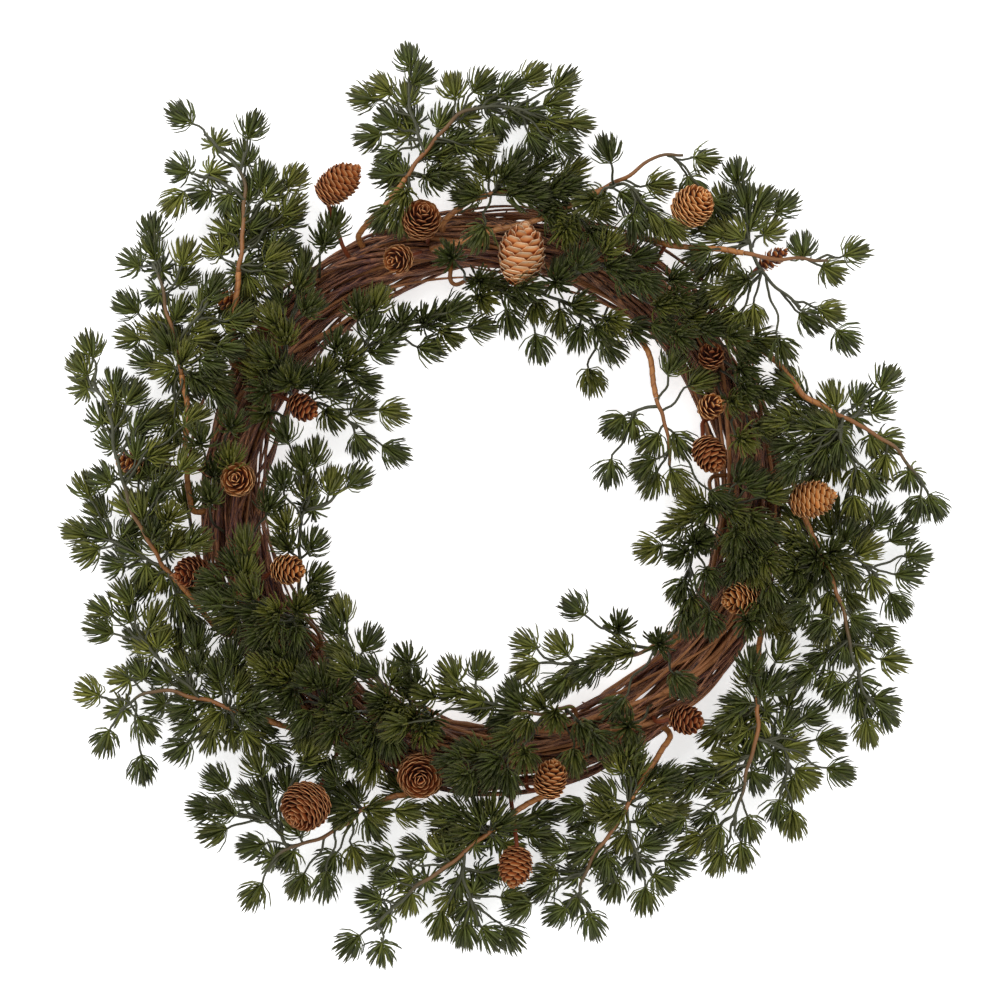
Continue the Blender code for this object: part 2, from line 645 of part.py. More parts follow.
def lay_cone(ledger, name, entry):
    """A cone's place and stalk, entered in the ledger."""
    clock, radius, height, length, width, heading, lift, section = entry
    place = at(clock, radius, height)
    lie = math.radians(lift)
    way = math.cos(lie) * at(heading, 1.0, 0.0) + np.array((0.0, 0.0, math.sin(lie)))
    stalk = choose_stalk(ledger, name, clock, section, place - (0.5 - STALK_IN_CONE) * length * way, way)
    ledger.add(name, stalk, STALK_RADIUS)
    core = CONE_CORE * length * way
    ledger.add(name, np.array((place - core, place + core)), 0.5 * width)
    if height > SEEN_CONE_HEIGHT:
        ledger.add(name, np.array((place, place + (0.0, 0.0, CONE_SHADE))), SEEN_CONE_WIDTH * width)
    return dict(name=name, place=place, way=way, length=length, width=width, stalk=stalk)


# ---- sprays ----

def best_root(curves, target, slide=0.0):
    """The branch point that leaves best for a target: close, and with the target ahead of it."""
    best = None
    for curve in curves:
        for i in range(1, len(curve)):
            run = unit(curve[i] - curve[i - 1])
            root = curve[i] + slide * (curve[i - 1] - curve[i])
            span = target - root
            reach = np.linalg.norm(span)
            facing = run @ span / max(reach, 1.0)
            cost = reach * (1.0 + TURN_BACK_COST * (1.0 - facing))
            if facing < -0.1 or reach < SHORTEST_REACH:
                cost += LAST_RESORT
            if best is None or cost < best[0]:
                best = (cost, root, run, reach)
    return best[1:]


def grow_branches(ledger, name, start, entry):
    """The leafy branches: the first carries on from the start, the others leave the first."""
    curves = []
    for branch in entry["branches"]:
        route = [at(*place) for place in branch]
        if curves:
            route = [best_root(curves[:1], route[0])[0], *route]
            curve = settle(ledger, name, route, SIDE_BRANCH_RADIUS, 1, spare=name + "_stem")
            ledger.add(name, curve, SIDE_BRANCH_RADIUS)
        else:
            route = [*start, *route]
            curve = settle(ledger, name, route, BRANCH_RADIUS, 2, 1, name + "_stem")
            ledger.add(name, curve, BRANCH_RADIUS)
        curves.append(curve)
    return curves


def twig_curve(curves, middle, leave, slide):
    """A twig from the branch point that suits a tuft best, bending towards the tuft's middle."""
    root, run, reach = best_root(curves, middle, slide)
    handle = root + leave * reach * run
    way = unit(middle - handle)
    end = middle - TUFT_SETBACK * way
    if np.linalg.norm(end - root) < SHORTEST_TWIG:
        end = root + SHORTEST_TWIG * way
    if reach < STRAIGHT_TWIG:
        return np.array((root, end))
    return np.array((root, 0.25 * root + 0.5 * handle + 0.25 * end, end))


def dome(radius):
    return DOME_EDGE + DOME_RISE * math.exp(-((radius - RING_RADIUS) / DOME_WIDTH) ** 2)


def try_tuft(ledger, name, curves, clock, radius, attempt, chance):
    """One random try at a tuft, with its score, or None where its twig would touch something."""
    wander = DOME_WANDER + WANDER_PER_TRY * attempt
    height = dome(radius) + chance.uniform(-wander, wander)
    turn = chance.uniform(-1, 1) * attempt * CLOCK_WANDER_PER_TRY
    leave, slide = chance.uniform(*TWIG_LEAVE), chance.uniform(*ROOT_SLIDE)
    twig = twig_curve(curves, at(clock + turn, radius, height), leave, slide)
    rods = rods_of(twig)
    swing = [chance.uniform(-NEEDLE_SWING, NEEDLE_SWING) for _ in range(6)]
    lengths = NEEDLE_LENGTH * np.array([chance.uniform(*NEEDLE_GROWTH) for _ in range(7)])
    spin = chance.uniform(0.0, math.tau)
    if (ledger.gaps(name, rods, TWIG_RADIUS) < ROD_CLEARANCE).any():
        return None
    if not clear_of_ring(rods, TWIG_RADIUS).all():
        return None
    way = unit(twig[-1] - twig[-2])
    bud = twig[-1] + 0.5 * BUD_LENGTH * way
    tips = bud + lengths[:, None] * np.array(needle_ways(way, *frame_along(twig, spin)[-1], swing))
    needles = np.stack((np.broadcast_to(bud, tips.shape), tips), axis=1)
    free = ledger.gaps(name, needles, NEEDLE_RADIUS) > NEEDLE_CLEARANCE
    free &= clear_of_ring(needles, NEEDLE_RADIUS)
    crossed = ledger.crossings(name, needles, NEEDLE_RADIUS) > 0
    if (free & ~crossed).sum() >= FEWEST_NEEDLES:
        free &= ~crossed
    twig_crossings = ledger.crossings(name, rods, TWIG_RADIUS).sum()
    score = free.sum() - TRY_COST * attempt - CROSSING_COST * (crossed & free).sum()
    score -= TWIG_CROSSING_COST * max(0, twig_crossings - FREE_TWIG_CROSSINGS)
    return dict(score=score, twig=twig, spin=spin, lengths=lengths * free, swing=swing, needles=needles[free])


def grow_tufts(ledger, name, curves, entry):
    """A twig and a tuft for each place that has room, at the clearest of its random tries."""
    tufts = []
    for clock, radius in entry["tufts"]:
        chance = random.Random(round(100 * clock + radius))
        best = None
        for attempt in range(TRIES):
            found = try_tuft(ledger, name, curves, clock, radius, attempt, chance)
            if found and (best is None or found["score"] > best["score"]):
                best = found
            if best and best["score"] > GOOD_SCORE:
                break
        if best is None or best["score"] < LOWEST_SCORE:
            continue
        ledger.add(name, best["twig"], TWIG_RADIUS)
        for needle in best["needles"]:
            ledger.add(name, needle, NEEDLE_RADIUS)
        tufts.append((best["twig"], best["spin"], best["lengths"], best["swing"]))
    return tufts


def butt_route(butt):
    """The first points of a stem: the foot of its socket, its mouth and a point just above."""
    clock, section = butt
    return [ring_surface(clock, section, -SOCKET_DEPTH), ring_surface(clock, section, MOUTH_HEIGHT)]


def lay_out():
    """Place everything: cones and stems first, then the tufts round them."""
    ledger = Ledger()
    cones = [lay_cone(ledger, f"cone_{i + 1:02d}", entry) for i, entry in enumerate(CONES)]
    sockets = [(cone["stalk"], STALK_RADIUS, STALK_SIDES) for cone in cones]
    stems, sprays = [], []
    for name, entry in WOODY_SPRAYS.items():
        route = [*butt_route(entry["butt"]), *(at(*place) for place in entry["stem"])]
        stem = settle(ledger, name + "_stem", route, WOOD_RADIUS, 2, 2)
        ledger.add(name + "_stem", stem, WOOD_RADIUS)
        stems.append((name + "_stem", stem))
        sockets.append((stem, WOOD_RADIUS, WOOD_SIDES))
    for name, entry in WOODY_SPRAYS.items():
        stem = dict(stems)[name + "_stem"]
        run = unit(stem[-1] - stem[-2])
        start = stem[-1] + FACE_GAP * run
        sprays.append([name, entry, [start, start + FIRST_RUN * run]])
    for name, entry in LEAFY_SPRAYS.items():
        sprays.append([name, entry, butt_route(entry["butt"])])
    for spray in sprays:
        spray.append(grow_branches(ledger, spray[0], spray[2], spray[1]))
        if spray[0] in LEAFY_SPRAYS:
            sockets.append((spray[3][0], BRANCH_RADIUS, BRANCH_SIDES))
    for spray in sprays:
        spray.append(grow_tufts(ledger, spray[0], spray[3], spray[1]))
    return cones, sockets, stems, sprays


def build():
    for piece in list(bpy.data.objects):
        bpy.data.objects.remove(piece)
    cones, sockets, stems, sprays = lay_out()
    build_ring(sockets)
    wood, leaf = principled(*WOOD), principled(*LEAF)
    scale, pale = principled(*CONE), principled(*PALE_CONE)
    for number, cone in enumerate(cones):
        colour = pale if cone["name"] == PALE_CONE_NAME else scale
        shape = cone_shape(cone["place"], cone["way"], cone["length"], cone["width"], number)
        body = new_object(cone["name"], *shape, colour)
        combine(body, [new_object("stalk", *even_tube(cone["stalk"], STALK_RADIUS, STALK_SIDES), colour)])
    for name, stem in stems:
        new_object(name, *even_tube(stem, WOOD_RADIUS, WOOD_SIDES), wood)
    for name, _, _, branches, tufts in sprays:
        body = new_object(name, *tapered_tube(branches[0], BRANCH_RADIUS, BRANCH_SIDES), leaf)
        parts = [tapered_tube(side, SIDE_BRANCH_RADIUS, TWIG_SIDES) for side in branches[1:]]
        parts += [tuft(*each) for each in tufts]
        combine(body, [new_object("repeat", *shape, leaf) for shape in parts])


build()
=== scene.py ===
"""Evergreen wreath: its looks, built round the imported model.

The wreath lies on its back, +Z out of its face and +Y towards its top. Places round the ring are
given as on a clock face: degrees clockwise from the top, then millimetres from the ring's middle,
then millimetres above the surface that the wreath lies on.
"""
import math
import random

import bpy
import numpy as np
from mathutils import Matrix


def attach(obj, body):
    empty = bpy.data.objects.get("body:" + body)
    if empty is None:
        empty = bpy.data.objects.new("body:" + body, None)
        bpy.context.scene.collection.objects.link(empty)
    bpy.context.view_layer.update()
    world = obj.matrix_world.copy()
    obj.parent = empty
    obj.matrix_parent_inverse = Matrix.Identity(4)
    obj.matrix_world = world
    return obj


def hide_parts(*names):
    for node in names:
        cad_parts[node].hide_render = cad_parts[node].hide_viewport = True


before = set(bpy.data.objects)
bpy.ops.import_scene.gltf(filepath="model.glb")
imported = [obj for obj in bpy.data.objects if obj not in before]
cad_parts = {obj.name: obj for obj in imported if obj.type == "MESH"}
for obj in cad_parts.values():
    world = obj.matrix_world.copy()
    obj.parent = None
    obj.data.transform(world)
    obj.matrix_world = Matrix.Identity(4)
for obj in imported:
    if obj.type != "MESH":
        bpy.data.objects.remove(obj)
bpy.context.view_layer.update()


# ======== The vine ring ========
# Some ninety dried vine canes, each wound round the others so that the bundle holds by its own
# twist, and thinner ones that have sprung loose. The bark is left on: plum brown and dull, tan
# along its ridges from wear and a painted highlight, with painted shade between them, and with
# swollen joints and stubs where side shoots were cut.

MM = 0.001
UP = np.array((0.0, 0.0, 1.0))
RING_SHIFT = (-9.3, 4.5, 0.0)
RING_RADIUS = 178.0
RING_HALF_WIDTH = 23.0
RING_HALF_HEIGHT = 19.5
RING_MIDDLE = 19.5
CANE_RELIEF = 4.5

CANE_SEED = 7
CANE_COUNT = 92
STRAY_COUNT = 34
CANE_SIDES = 5
CANE_STEP = 6.0
CANE_RADII = (0.8, 2.0)
THIN_CANES = 1.5
CANE_SWEEP = (200.0, 420.0)
CANE_TWIST = (0.8, 2.8)
CANE_DEPTH = 0.55
CANE_WAVES = (2, 4)
CANE_WAVER = 0.5
CANE_RIPPLE = 0.09
CANE_OVER = 1.5
CANE_TUCK = 0.45
TUCK_SHARE = 0.05
LOWEST_CANE = 0.8
SLOW_SWELL = 0.10
SLOW_PITCH = 23.0
CANE_END = 0.45
END_TAPER = 12.0
# The ridges round a cane: how many, the run in which they wind on by a radian, and their height.
CANE_RIDGES = ((3, 17.0, 0.12), (5, -9.0, 0.08))
JOINT_PITCH = 75.0
JOINT_SWELL = 0.35
JOINT_LENGTH = 5.0
STUB_SHARE = 0.45
STUB_LENGTH = (1.0, 4.0)
STUB_LEAN = 0.8
STUB_SIDES = 6
STUB_TAPER = (0.6, 0.42)
STRAY_RADII = (0.7, 1.3)
STRAY_SWEEP = (35.0, 110.0)
STRAY_REACH = (3.0, 17.0)
STRAY_HELD = 0.72
STRAY_SWING = 0.9
STRAY_BACK = 0.3
LOWEST_STRAY = 3.0
BARK_STRING = 0.64
BARK_DRAWN_OUT = 0.035
BARK_PATCH = 35.0


def at(clock, radius, height):
    """The point at a clock angle, a radius and a height, in millimetres from the ring's middle."""
    turn = math.radians(clock)
    return np.array((radius * math.sin(turn), radius * math.cos(turn), height))


def clock_of(point):
    """The clock angle of a point."""
    return math.degrees(math.atan2(point[0], point[1]))


def unit(vector):
    return vector / np.linalg.norm(vector)


def around(side, up, turn):
    """The direction at a turn, or at each of several turns, from one direction towards another."""
    turn = np.asarray(turn)[..., None]
    return np.cos(turn) * side + np.sin(turn) * up


def smooth(points, step):
    """Points along a Catmull-Rom curve through the given ones, about a step apart."""
    line = [2 * points[0] - points[1], *points, 2 * points[-1] - points[-2]]
    curve = [points[0]]
    for a, b, c, d in zip(line, line[1:], line[2:], line[3:]):
        count = max(1, round(np.linalg.norm(c - b) / step))
        for i in range(1, count + 1):
            t = i / count
            curve.append(0.5 * (2 * b + (c - a) * t + (2 * a - 5 * b + 4 * c - d) * t * t
                                + (3 * b - a - 3 * c + d) * t ** 3))
    return np.array(curve)


def run_along(curve):
    """How far along a curve each of its points lies."""
    return np.concatenate(([0.0], np.cumsum(np.linalg.norm(np.diff(curve, axis=0), axis=1))))


def frames_along(curve, spin=0.0):
    """A pair of cross directions at each point, carried along the curve without twisting."""
    runs = np.diff(curve, axis=0)
    runs = runs / np.linalg.norm(runs, axis=1)[:, None]
    ways = [runs[0]] + [unit(a + b) for a, b in zip(runs, runs[1:])] + [runs[-1]]
    side = unit(np.cross(ways[-1], UP if abs(ways[-1][2]) < 0.9 else (1.0, 0.0, 0.0)))
    side = around(side, np.cross(ways[-1], side), spin)
    frames = []
    for way in reversed(ways):
        side = unit(side - way * (side @ way))
        frames.append((side, np.cross(way, side)))
    return np.array(frames[::-1])


def put_in_scene(name, data):
    """A new object in the scene for a mesh, a lamp or a camera."""
    made = bpy.data.objects.new(name, data)
    bpy.context.scene.collection.objects.link(made)
    return made


class Shape:
    """The points and faces gathered for one piece, with three tones for each point."""

    def __init__(self):
        self.points, self.faces, self.tones, self.count = [], [], [], 0

    def add(self, points, faces, *tones):
        """Add points and faces. Each tone is one number for them all or one for each point."""
        points = np.asarray(points, float).reshape(-1, 3)
        tones = np.stack(np.broadcast_arrays(*tones), axis=-1).reshape(-1, 3)
        self.points.append(points)
        self.faces.extend(tuple(i + self.count for i in face) for face in faces)
        self.tones.append(np.broadcast_to(tones, points.shape))
        self.count += len(points)

    def tube(self, curve, radii, sides, tone=0.0, ridge=None, tones=None):
        """A closed tube. Its tones, unless given, are the run along it, the turn round it and its own."""
        frames = frames_along(curve)
        turns = math.tau * np.arange(sides) / sides
        runs = run_along(curve)[:, None]
        wide = np.asarray(radii)[:, None] + (ridge(runs, turns) if ridge else np.zeros(sides))
        points = curve[:, None] + wide[..., None] * around(frames[:, None, 0], frames[:, None, 1], turns)
        last = (len(curve) - 1) * sides
        faces = [tuple(range(sides))[::-1], tuple(range(last, last + sides))]
        for i in range(0, last, sides):
            for k in range(sides):
                a, b = i + k, i + (k + 1) % sides
                faces.append((a, b, b + sides, a + sides))
        self.add(points, faces, *(tones or (runs, turns, tone)))

    def piece(self, name, material, slot, *nodes):
        """Make the piece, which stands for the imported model's nodes."""
        mesh = bpy.data.meshes.new(name)
        mesh.from_pydata(((np.concatenate(self.points) + RING_SHIFT) * MM).tolist(), [], self.faces)
        tones = mesh.attributes.new("tones", "FLOAT_VECTOR", "POINT")
        tones.data.foreach_set("vector", np.concatenate(self.tones).astype(np.float32).ravel())
        mesh.shade_smooth()
        mesh.materials.append(material)
        made = put_in_scene(name, mesh)
        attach(made, "root")
        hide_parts(*nodes)


def linear(code):
    """An sRGB hex value as a linear colour."""
    parts = [int(code[i:i + 2], 16) / 255 for i in (1, 3, 5)]
    return (*(p / 12.92 if p <= 0.04045 else ((p + 0.055) / 1.055) ** 2.4 for p in parts), 1.0)


def fill_inputs(tree, node, inputs):
    """Set or link a node's inputs. Text is a hex colour, and a node stands for its output in use."""
    for key, value in inputs.items():
        if isinstance(value, str):
            value = linear(value)
        if isinstance(value, bpy.types.Node):
            value = next(output for output in value.outputs if output.enabled)
        if isinstance(value, bpy.types.NodeSocket):
            tree.links.new(value, node.inputs[key])
        else:
            node.inputs[key].default_value = value


def add_node(tree, kind, inputs, **settings):
    """Add a node with its settings and links.

    A map range goes from its inputs 1 and 2 to its inputs 3 and 4, which are 0 and 1 unless set.
    A colour mix has its share at 0 and its two colours at 6 and 7.
    """
    node = tree.nodes.new("ShaderNode" + kind)
    for key, value in settings.items():
        setattr(node, key, value)
    fill_inputs(tree, node, inputs)
    return node


def start_material(name):
    """A new material, with its node tree and its shader."""
    material = bpy.data.materials.new(name)
    material.use_nodes = True
    return material, material.node_tree, material.node_tree.nodes["Principled BSDF"]


def surface_values(tree):
    """What a material can draw on: the three tones of a point, and its place."""
    tones = add_node(tree, "Attribute", {}, attribute_name="tones").outputs["Vector"]
    place = add_node(tree, "NewGeometry", {}).outputs["Position"]
    return (*add_node(tree, "SeparateXYZ", {0: tones}).outputs, place)


def finish_surface(tree, shader, colour, grain, strength, depth, dull, shiny):
    """Give a shader its colour, and a grain that stands in relief and is dull between its tops."""
    relief = add_node(tree, "Bump", {"Height": grain, "Strength": strength, "Distance": depth * MM})
    gloss = add_node(tree, "MapRange", {0: grain, 1: 0.35, 2: 0.65, 3: dull, 4: shiny})
    fill_inputs(tree, shader, {"Base Color": colour, "Normal": relief, "Roughness": gloss})


def cane_curve(chance, thick):
    """A cane's line: round the ring, twisting round the bundle, its ends tucked in."""
    start, sweep = chance.uniform(0, 360), chance.uniform(*CANE_SWEEP)
    twist, phase = chance.uniform(*CANE_TWIST), chance.uniform(0, math.tau)
    depth = chance.uniform(0.0, 1.0) ** CANE_DEPTH
    waves = [(chance.uniform(*CANE_WAVES), chance.uniform(0, math.tau)) for _ in range(3)]
    count = round(math.radians(sweep) * RING_RADIUS / CANE_STEP)
    points = []
    for i in range(count + 1):
        t = i / count
        turn = math.radians(start + sweep * t)
        way = phase + twist * turn + CANE_WAVER * math.sin(waves[0][0] * turn + waves[0][1])
        tuck = CANE_TUCK * (math.exp(-(t / TUCK_SHARE) ** 2) + math.exp(-((1 - t) / TUCK_SHARE) ** 2))
        ripple = CANE_RIPPLE * math.sin(waves[1][0] * 3 * turn + waves[1][1])
        out = depth * (1.0 - tuck) * (1.0 + ripple)
        radius = RING_RADIUS + (RING_HALF_WIDTH + CANE_OVER - thick) * out * math.cos(way)
        height = RING_MIDDLE + (RING_HALF_HEIGHT + CANE_OVER - thick) * out * math.sin(way)
        height = max(height, thick * (1 + JOINT_SWELL) + LOWEST_CANE)
        points.append(at(math.degrees(turn), radius, height))
    return np.array(points)


def stray_curve(chance):
    """A thin cane that has sprung out of the bundle between two places where it is held."""
    start, sweep = chance.uniform(0, 360), chance.uniform(*STRAY_SWEEP)
    way = chance.uniform(-STRAY_BACK, math.pi + STRAY_BACK)
    swing = chance.uniform(-STRAY_SWING, STRAY_SWING)
    reach, wave = chance.uniform(*STRAY_REACH), chance.uniform(0, math.tau)
    count = round(math.radians(sweep) * RING_RADIUS / CANE_STEP)
    points = []
    for i in range(count + 1):
        t = i / count
        turn = way + swing * (t - 0.5)
        bow = reach / RING_HALF_WIDTH * math.sin(math.pi * t) ** 0.7
        out = STRAY_HELD + bow + 0.02 * math.sin(9 * t + wave)
        points.append(at(start + sweep * t, RING_RADIUS + RING_HALF_WIDTH * out * math.cos(turn),
                         max(LOWEST_STRAY, RING_MIDDLE + RING_HALF_HEIGHT * out * math.sin(turn))))
    return np.array(points)


def cane_radii(chance, curve, thick):
    """A cane's thickness along its line, and how far each point is from the nearest joint."""
    run = CANE_STEP * np.arange(len(curve))
    shift, slow = chance.uniform(0, JOINT_PITCH), chance.uniform(0, math.tau)
    joint = np.abs((run + shift) % JOINT_PITCH - 0.5 * JOINT_PITCH)
    swell = JOINT_SWELL * np.exp(-(joint / JOINT_LENGTH) ** 2) + SLOW_SWELL * np.sin(run / SLOW_PITCH + slow)
    ends = np.minimum(1.0, CANE_END + np.minimum(run, run[::-1]) / END_TAPER)
    return thick * (1.0 + swell) * ends, joint


def cane_ridge(run, turn):
    """The ridges of a cane, which wind slowly round it."""
    return sum(high * np.sin(count * turn + run / wind) for count, wind, high in CANE_RIDGES)


canes = Shape()
chance = random.Random(CANE_SEED)
for number in range(CANE_COUNT + STRAY_COUNT):
    stray = number >= CANE_COUNT
    slim, stout = STRAY_RADII if stray else CANE_RADII
    thick = slim + (stout - slim) * chance.random() ** THIN_CANES
    curve = stray_curve(chance) if stray else cane_curve(chance, thick)
    radii, joint = cane_radii(chance, curve, thick)
    tone = chance.random()
    canes.tube(curve, radii, CANE_SIDES, tone, cane_ridge)
    for i in range(2, len(curve) - 2):
        if joint[i] <= 0.5 * CANE_STEP and chance.random() < STUB_SHARE:
            middle = at(clock_of(curve[i]), RING_RADIUS, RING_MIDDLE)
            lean = unit(unit(curve[i] - middle + 0.01) + STUB_LEAN * unit(curve[i + 1] - curve[i]))
            stub = np.array((curve[i], curve[i] + (radii[i] + chance.uniform(*STUB_LENGTH)) * lean))
            if stub[1][2] > LOWEST_STRAY:
                canes.tube(stub, thick * np.array(STUB_TAPER), STUB_SIDES, tone)

# Dried vine bark: dull, split along the cane into strings some 0.6 mm wide. It is plum brown
# between the strings, darkened there as painted shade, and tan on the lifted strings, partly wear
# and partly a painted highlight. About one cane in six has lost its bark.
vine_bark, tree, shader = start_material("dried vine bark")
run, turn, own, place = surface_values(tree)
along = add_node(tree, "Math", {0: run, 1: BARK_DRAWN_OUT}, operation="MULTIPLY")
fine = add_node(tree, "CombineXYZ", {0: along, 1: turn, 2: own})
# The mean of the canes' radii, most of which are near the thin end.
usual_radius = CANE_RADII[0] + (CANE_RADII[1] - CANE_RADII[0]) / (1.0 + THIN_CANES)
string_scale = 2.0 * usual_radius / BARK_STRING
strings = add_node(tree, "TexNoise", {"Vector": fine, "Scale": string_scale, "Detail": 5.0})
patches = add_node(tree, "TexNoise", {"Vector": place, "Scale": 1.0 / (BARK_PATCH * MM), "Detail": 3.0})
# Wear and painted highlight: tan on the tops of the strings, plum darkened by painted shade between.
wear_and_painted_highlight = add_node(tree, "MapRange", {0: strings, 1: 0.48, 2: 0.58})
dark = add_node(tree, "Mix", {0: own, 6: "#220c0a", 7: "#4e2013"}, data_type="RGBA")
plum = add_node(tree, "MapRange", {0: patches, 1: 0.5, 2: 0.68})
purple = add_node(tree, "Mix", {0: plum, 6: dark, 7: "#3a1d2c"}, data_type="RGBA")
tan = add_node(tree, "Mix", {0: patches, 6: "#d89968", 7: "#8c4b26"}, data_type="RGBA")
bark = add_node(tree, "Mix", {0: wear_and_painted_highlight, 6: purple, 7: tan}, data_type="RGBA")
bare = add_node(tree, "MapRange", {0: own, 1: 0.80, 2: 0.84, 4: 0.7})
stripped = add_node(tree, "Mix", {0: bare, 6: bark, 7: "#a46a36"}, data_type="RGBA")
finish_surface(tree, shader, stripped, strings, 0.6, 0.6, 0.75, 0.52)
canes.piece("vine_canes", vine_bark, "vine bark", "vine_ring")


# ======== The cones ========
# Small open cones on stalks pushed between the canes. The scales are thin, cupped and woody,
# orange brown over the back, darkened towards the root with painted shade for the gaps between
# them and lightened along the rim with a painted highlight. The one at the top is larger, lighter
# and more closed.

SOCKET_DEPTH = 8.0
MOUTH_HEIGHT = 6.5
STALK_STEP = 12.0
STALK_RADIUS = 1.5
STALK_SIDES = 8
FINE_STALK_STEP = 3.0
# Brown, between a scale's root, darkened there as painted shade, and its back. Unbleached, it gets
# the darkest painted shade of the cones.
STALK_TONES = (0.64, 0.0, 0.3)
ROD_CLEARANCE = 0.9
OWN_CLEARANCE = 0.5
RING_CLEARANCE = 0.6
FLOOR_CLEARANCE = 1.0
ROD_SAMPLES = 5
SMALL = 1e-9
NEAR_RODS = 65.0

# Clock angle, radius and height of the middle; length and width; the clock heading that the tip
# points to and its lift above level; where the stalk enters the ring's section; and how far the
# sun has bleached it, from 0 for the ones deep in the needles. The same number also sets painted
# light: the ones deep in the needles are darkened with painted shade, those standing clear brightened.
CONES = (
    (334.5, 238, 70, 36, 26, 52, 12, 45, 0.2),
    (346, 196, 69, 27, 28, 20, 58, 80, 0.15),
    (338.5, 175, 65, 22, 21, 250, 60, 95, 0.4),
    (6.9, 170, 68, 42, 33, 6, 24, 120, 1.0),
    (34.4, 242, 66, 31, 29, 50, 35, 45, 1.4),
    (307, 226, 50, 22, 17, 300, 15, 20, 1.2),
    (276, 249, 46, 21, 17, 290, 20, 10, 1.4),
    (274.7, 173, 65, 24, 25, 300, 82, 90, 0.6),
    (296, 142, 58, 23, 20, 120, 20, 140, 0.0),
    (256.6, 211, 60, 25, 22, 250, 35, 60, 0.0),
    (251, 145, 63, 25, 22, 95, 25, 130, 0.8),
    (211.4, 244, 68, 33, 35, 225, 38, 45, 0.1),
    (194.6, 193, 68, 29, 32, 160, 80, 80, 0.15),
    (168, 192, 64, 29, 24, 12, 22, 90, 0.6),
    (176.4, 250, 60, 29, 25, 190, 18, 35, 0.2),
    (111.7, 180, 65, 28, 24, 255, 28, 90, 1.2),
    (89.8, 218, 64, 33, 27, 78, 12, 60, 1.0),
    (78.6, 151, 62, 28, 24, 150, 30, 120, 0.2),
    (66.8, 162, 62, 20, 18, 60, 50, 100, 1.3),
    (56.5, 178, 60, 20, 19, 0, 50, 90, 0.1),
    (138.3, 200, 57, 25, 22, 100, 30, 70, 0.0),
    (49.3, 253, 38, 26, 14, 60, 5, 10, 0.4),
)
PALE_CONE_NAME = "cone_04"
STALK_IN_CONE = 0.12
STALK_TURNS = (0, -5, 5, -9, 9, -13, 13)
STALK_SWINGS = (0, 20, -20, 40, -40)
STALK_CLEARANCE = 1.35
STRAIGHT_WORTH = 25.0
TURN_COST = 0.4
GRAZE_COST = 40.0
CONE_CORE = 0.28
SEEN_CONE_HEIGHT = 57.0
SEEN_CONE_WIDTH = 0.36
CONE_SHADE = 60.0

GOLDEN_TURN = math.pi * (3.0 - math.sqrt(5.0))
# How many scales there are against what would just cover the cone, and how far they stand off
# and how wide they are against the usual.
OPEN_SCALES = (0.88, 1.0, 1.0)
PALE_SCALES = (0.45, 0.75, 1.2)
SCALE_AREA = 23.0
SCALE_THICKNESS = 0.55
SCALE_REACH = 0.42
SCALE_CUP = 0.35
SCALE_LIFT = (0.20, 1.15)
SCALE_WIDTH = (0.13, 0.27)
GIRTH_SPREAD = (0.94, 1.0)
LIFT_SPREAD = (-0.07, 0.07)
WIDTH_SPREAD = (0.9, 1.08)
TIP_CLOSING = 0.75
SCALE_ROWS, SCALE_COLUMNS = 4, 4
CONE_FOOT = -0.46
CORE_RUN = 0.86
SCALES_RUN = 0.96
CORE_WIDTH = 0.36
CORE_SIDES = 8
CORE_STEPS = 9
CONE_MOTTLE = 6.0
ODD_WAY = (0.31, 0.22, 0.93)


def ring_surface(clock, section, off):
    """A point off the ring's surface, at a turn round its section: 0 outward and 90 up."""
    way = math.radians(section)
    across = RING_HALF_WIDTH + 0.5 * CANE_RELIEF
    tall = RING_HALF_HEIGHT + 0.5 * CANE_RELIEF
    normal = unit(np.array((math.cos(way) / across, math.sin(way) / tall)))
    place = np.array((RING_RADIUS + across * math.cos(way), RING_MIDDLE + tall * math.sin(way)))
    return at(clock, *(place + off * normal))


def socket(clock, section):
    """How a stalk or stem begins: the foot of its socket in the ring and a point off its mouth."""
    return [ring_surface(clock, section, off) for off in (-SOCKET_DEPTH, MOUTH_HEIGHT)]


def rods_of(curve):
    """The straight rods that join a curve's points."""
    return np.stack((curve[:-1], curve[1:]), axis=1)


def rod_distance(one, other):
    """The shortest distance between straight rods, given by their ends."""
    u, v = one[..., 1, :] - one[..., 0, :], other[..., 1, :] - other[..., 0, :]
    w = one[..., 0, :] - other[..., 0, :]
    uu, uv, vv = (u * u).sum(-1), (u * v).sum(-1), (v * v).sum(-1)
    uw, vw = (u * w).sum(-1), (v * w).sum(-1)
    spread = np.maximum(uu * vv - uv * uv, SMALL)
    s = np.clip((uv * vw - vv * uw) / spread, 0.0, 1.0)
    t = np.clip((uv * s + vw) / np.maximum(vv, SMALL), 0.0, 1.0)
    s = np.clip((uv * t - uw) / np.maximum(uu, SMALL), 0.0, 1.0)
    gap = w + s[..., None] * u - t[..., None] * v
    return np.sqrt((gap * gap).sum(-1))


def clear_of_ring(rods, radius):
    """For each rod, whether it stays outside the ring's section and above the floor."""
    t = np.linspace(0.0, 1.0, ROD_SAMPLES)[None, :, None]
    points = rods[:, None, 0] * (1 - t) + rods[:, None, 1] * t
    grow = CANE_RELIEF + radius + RING_CLEARANCE
    out = (np.hypot(points[..., 0], points[..., 1]) - RING_RADIUS) / (RING_HALF_WIDTH + grow)
    up = (points[..., 2] - RING_MIDDLE) / (RING_HALF_HEIGHT + grow)
    return ((out ** 2 + up ** 2 > 1.0) & (points[..., 2] > radius + FLOOR_CLEARANCE)).all(axis=1)


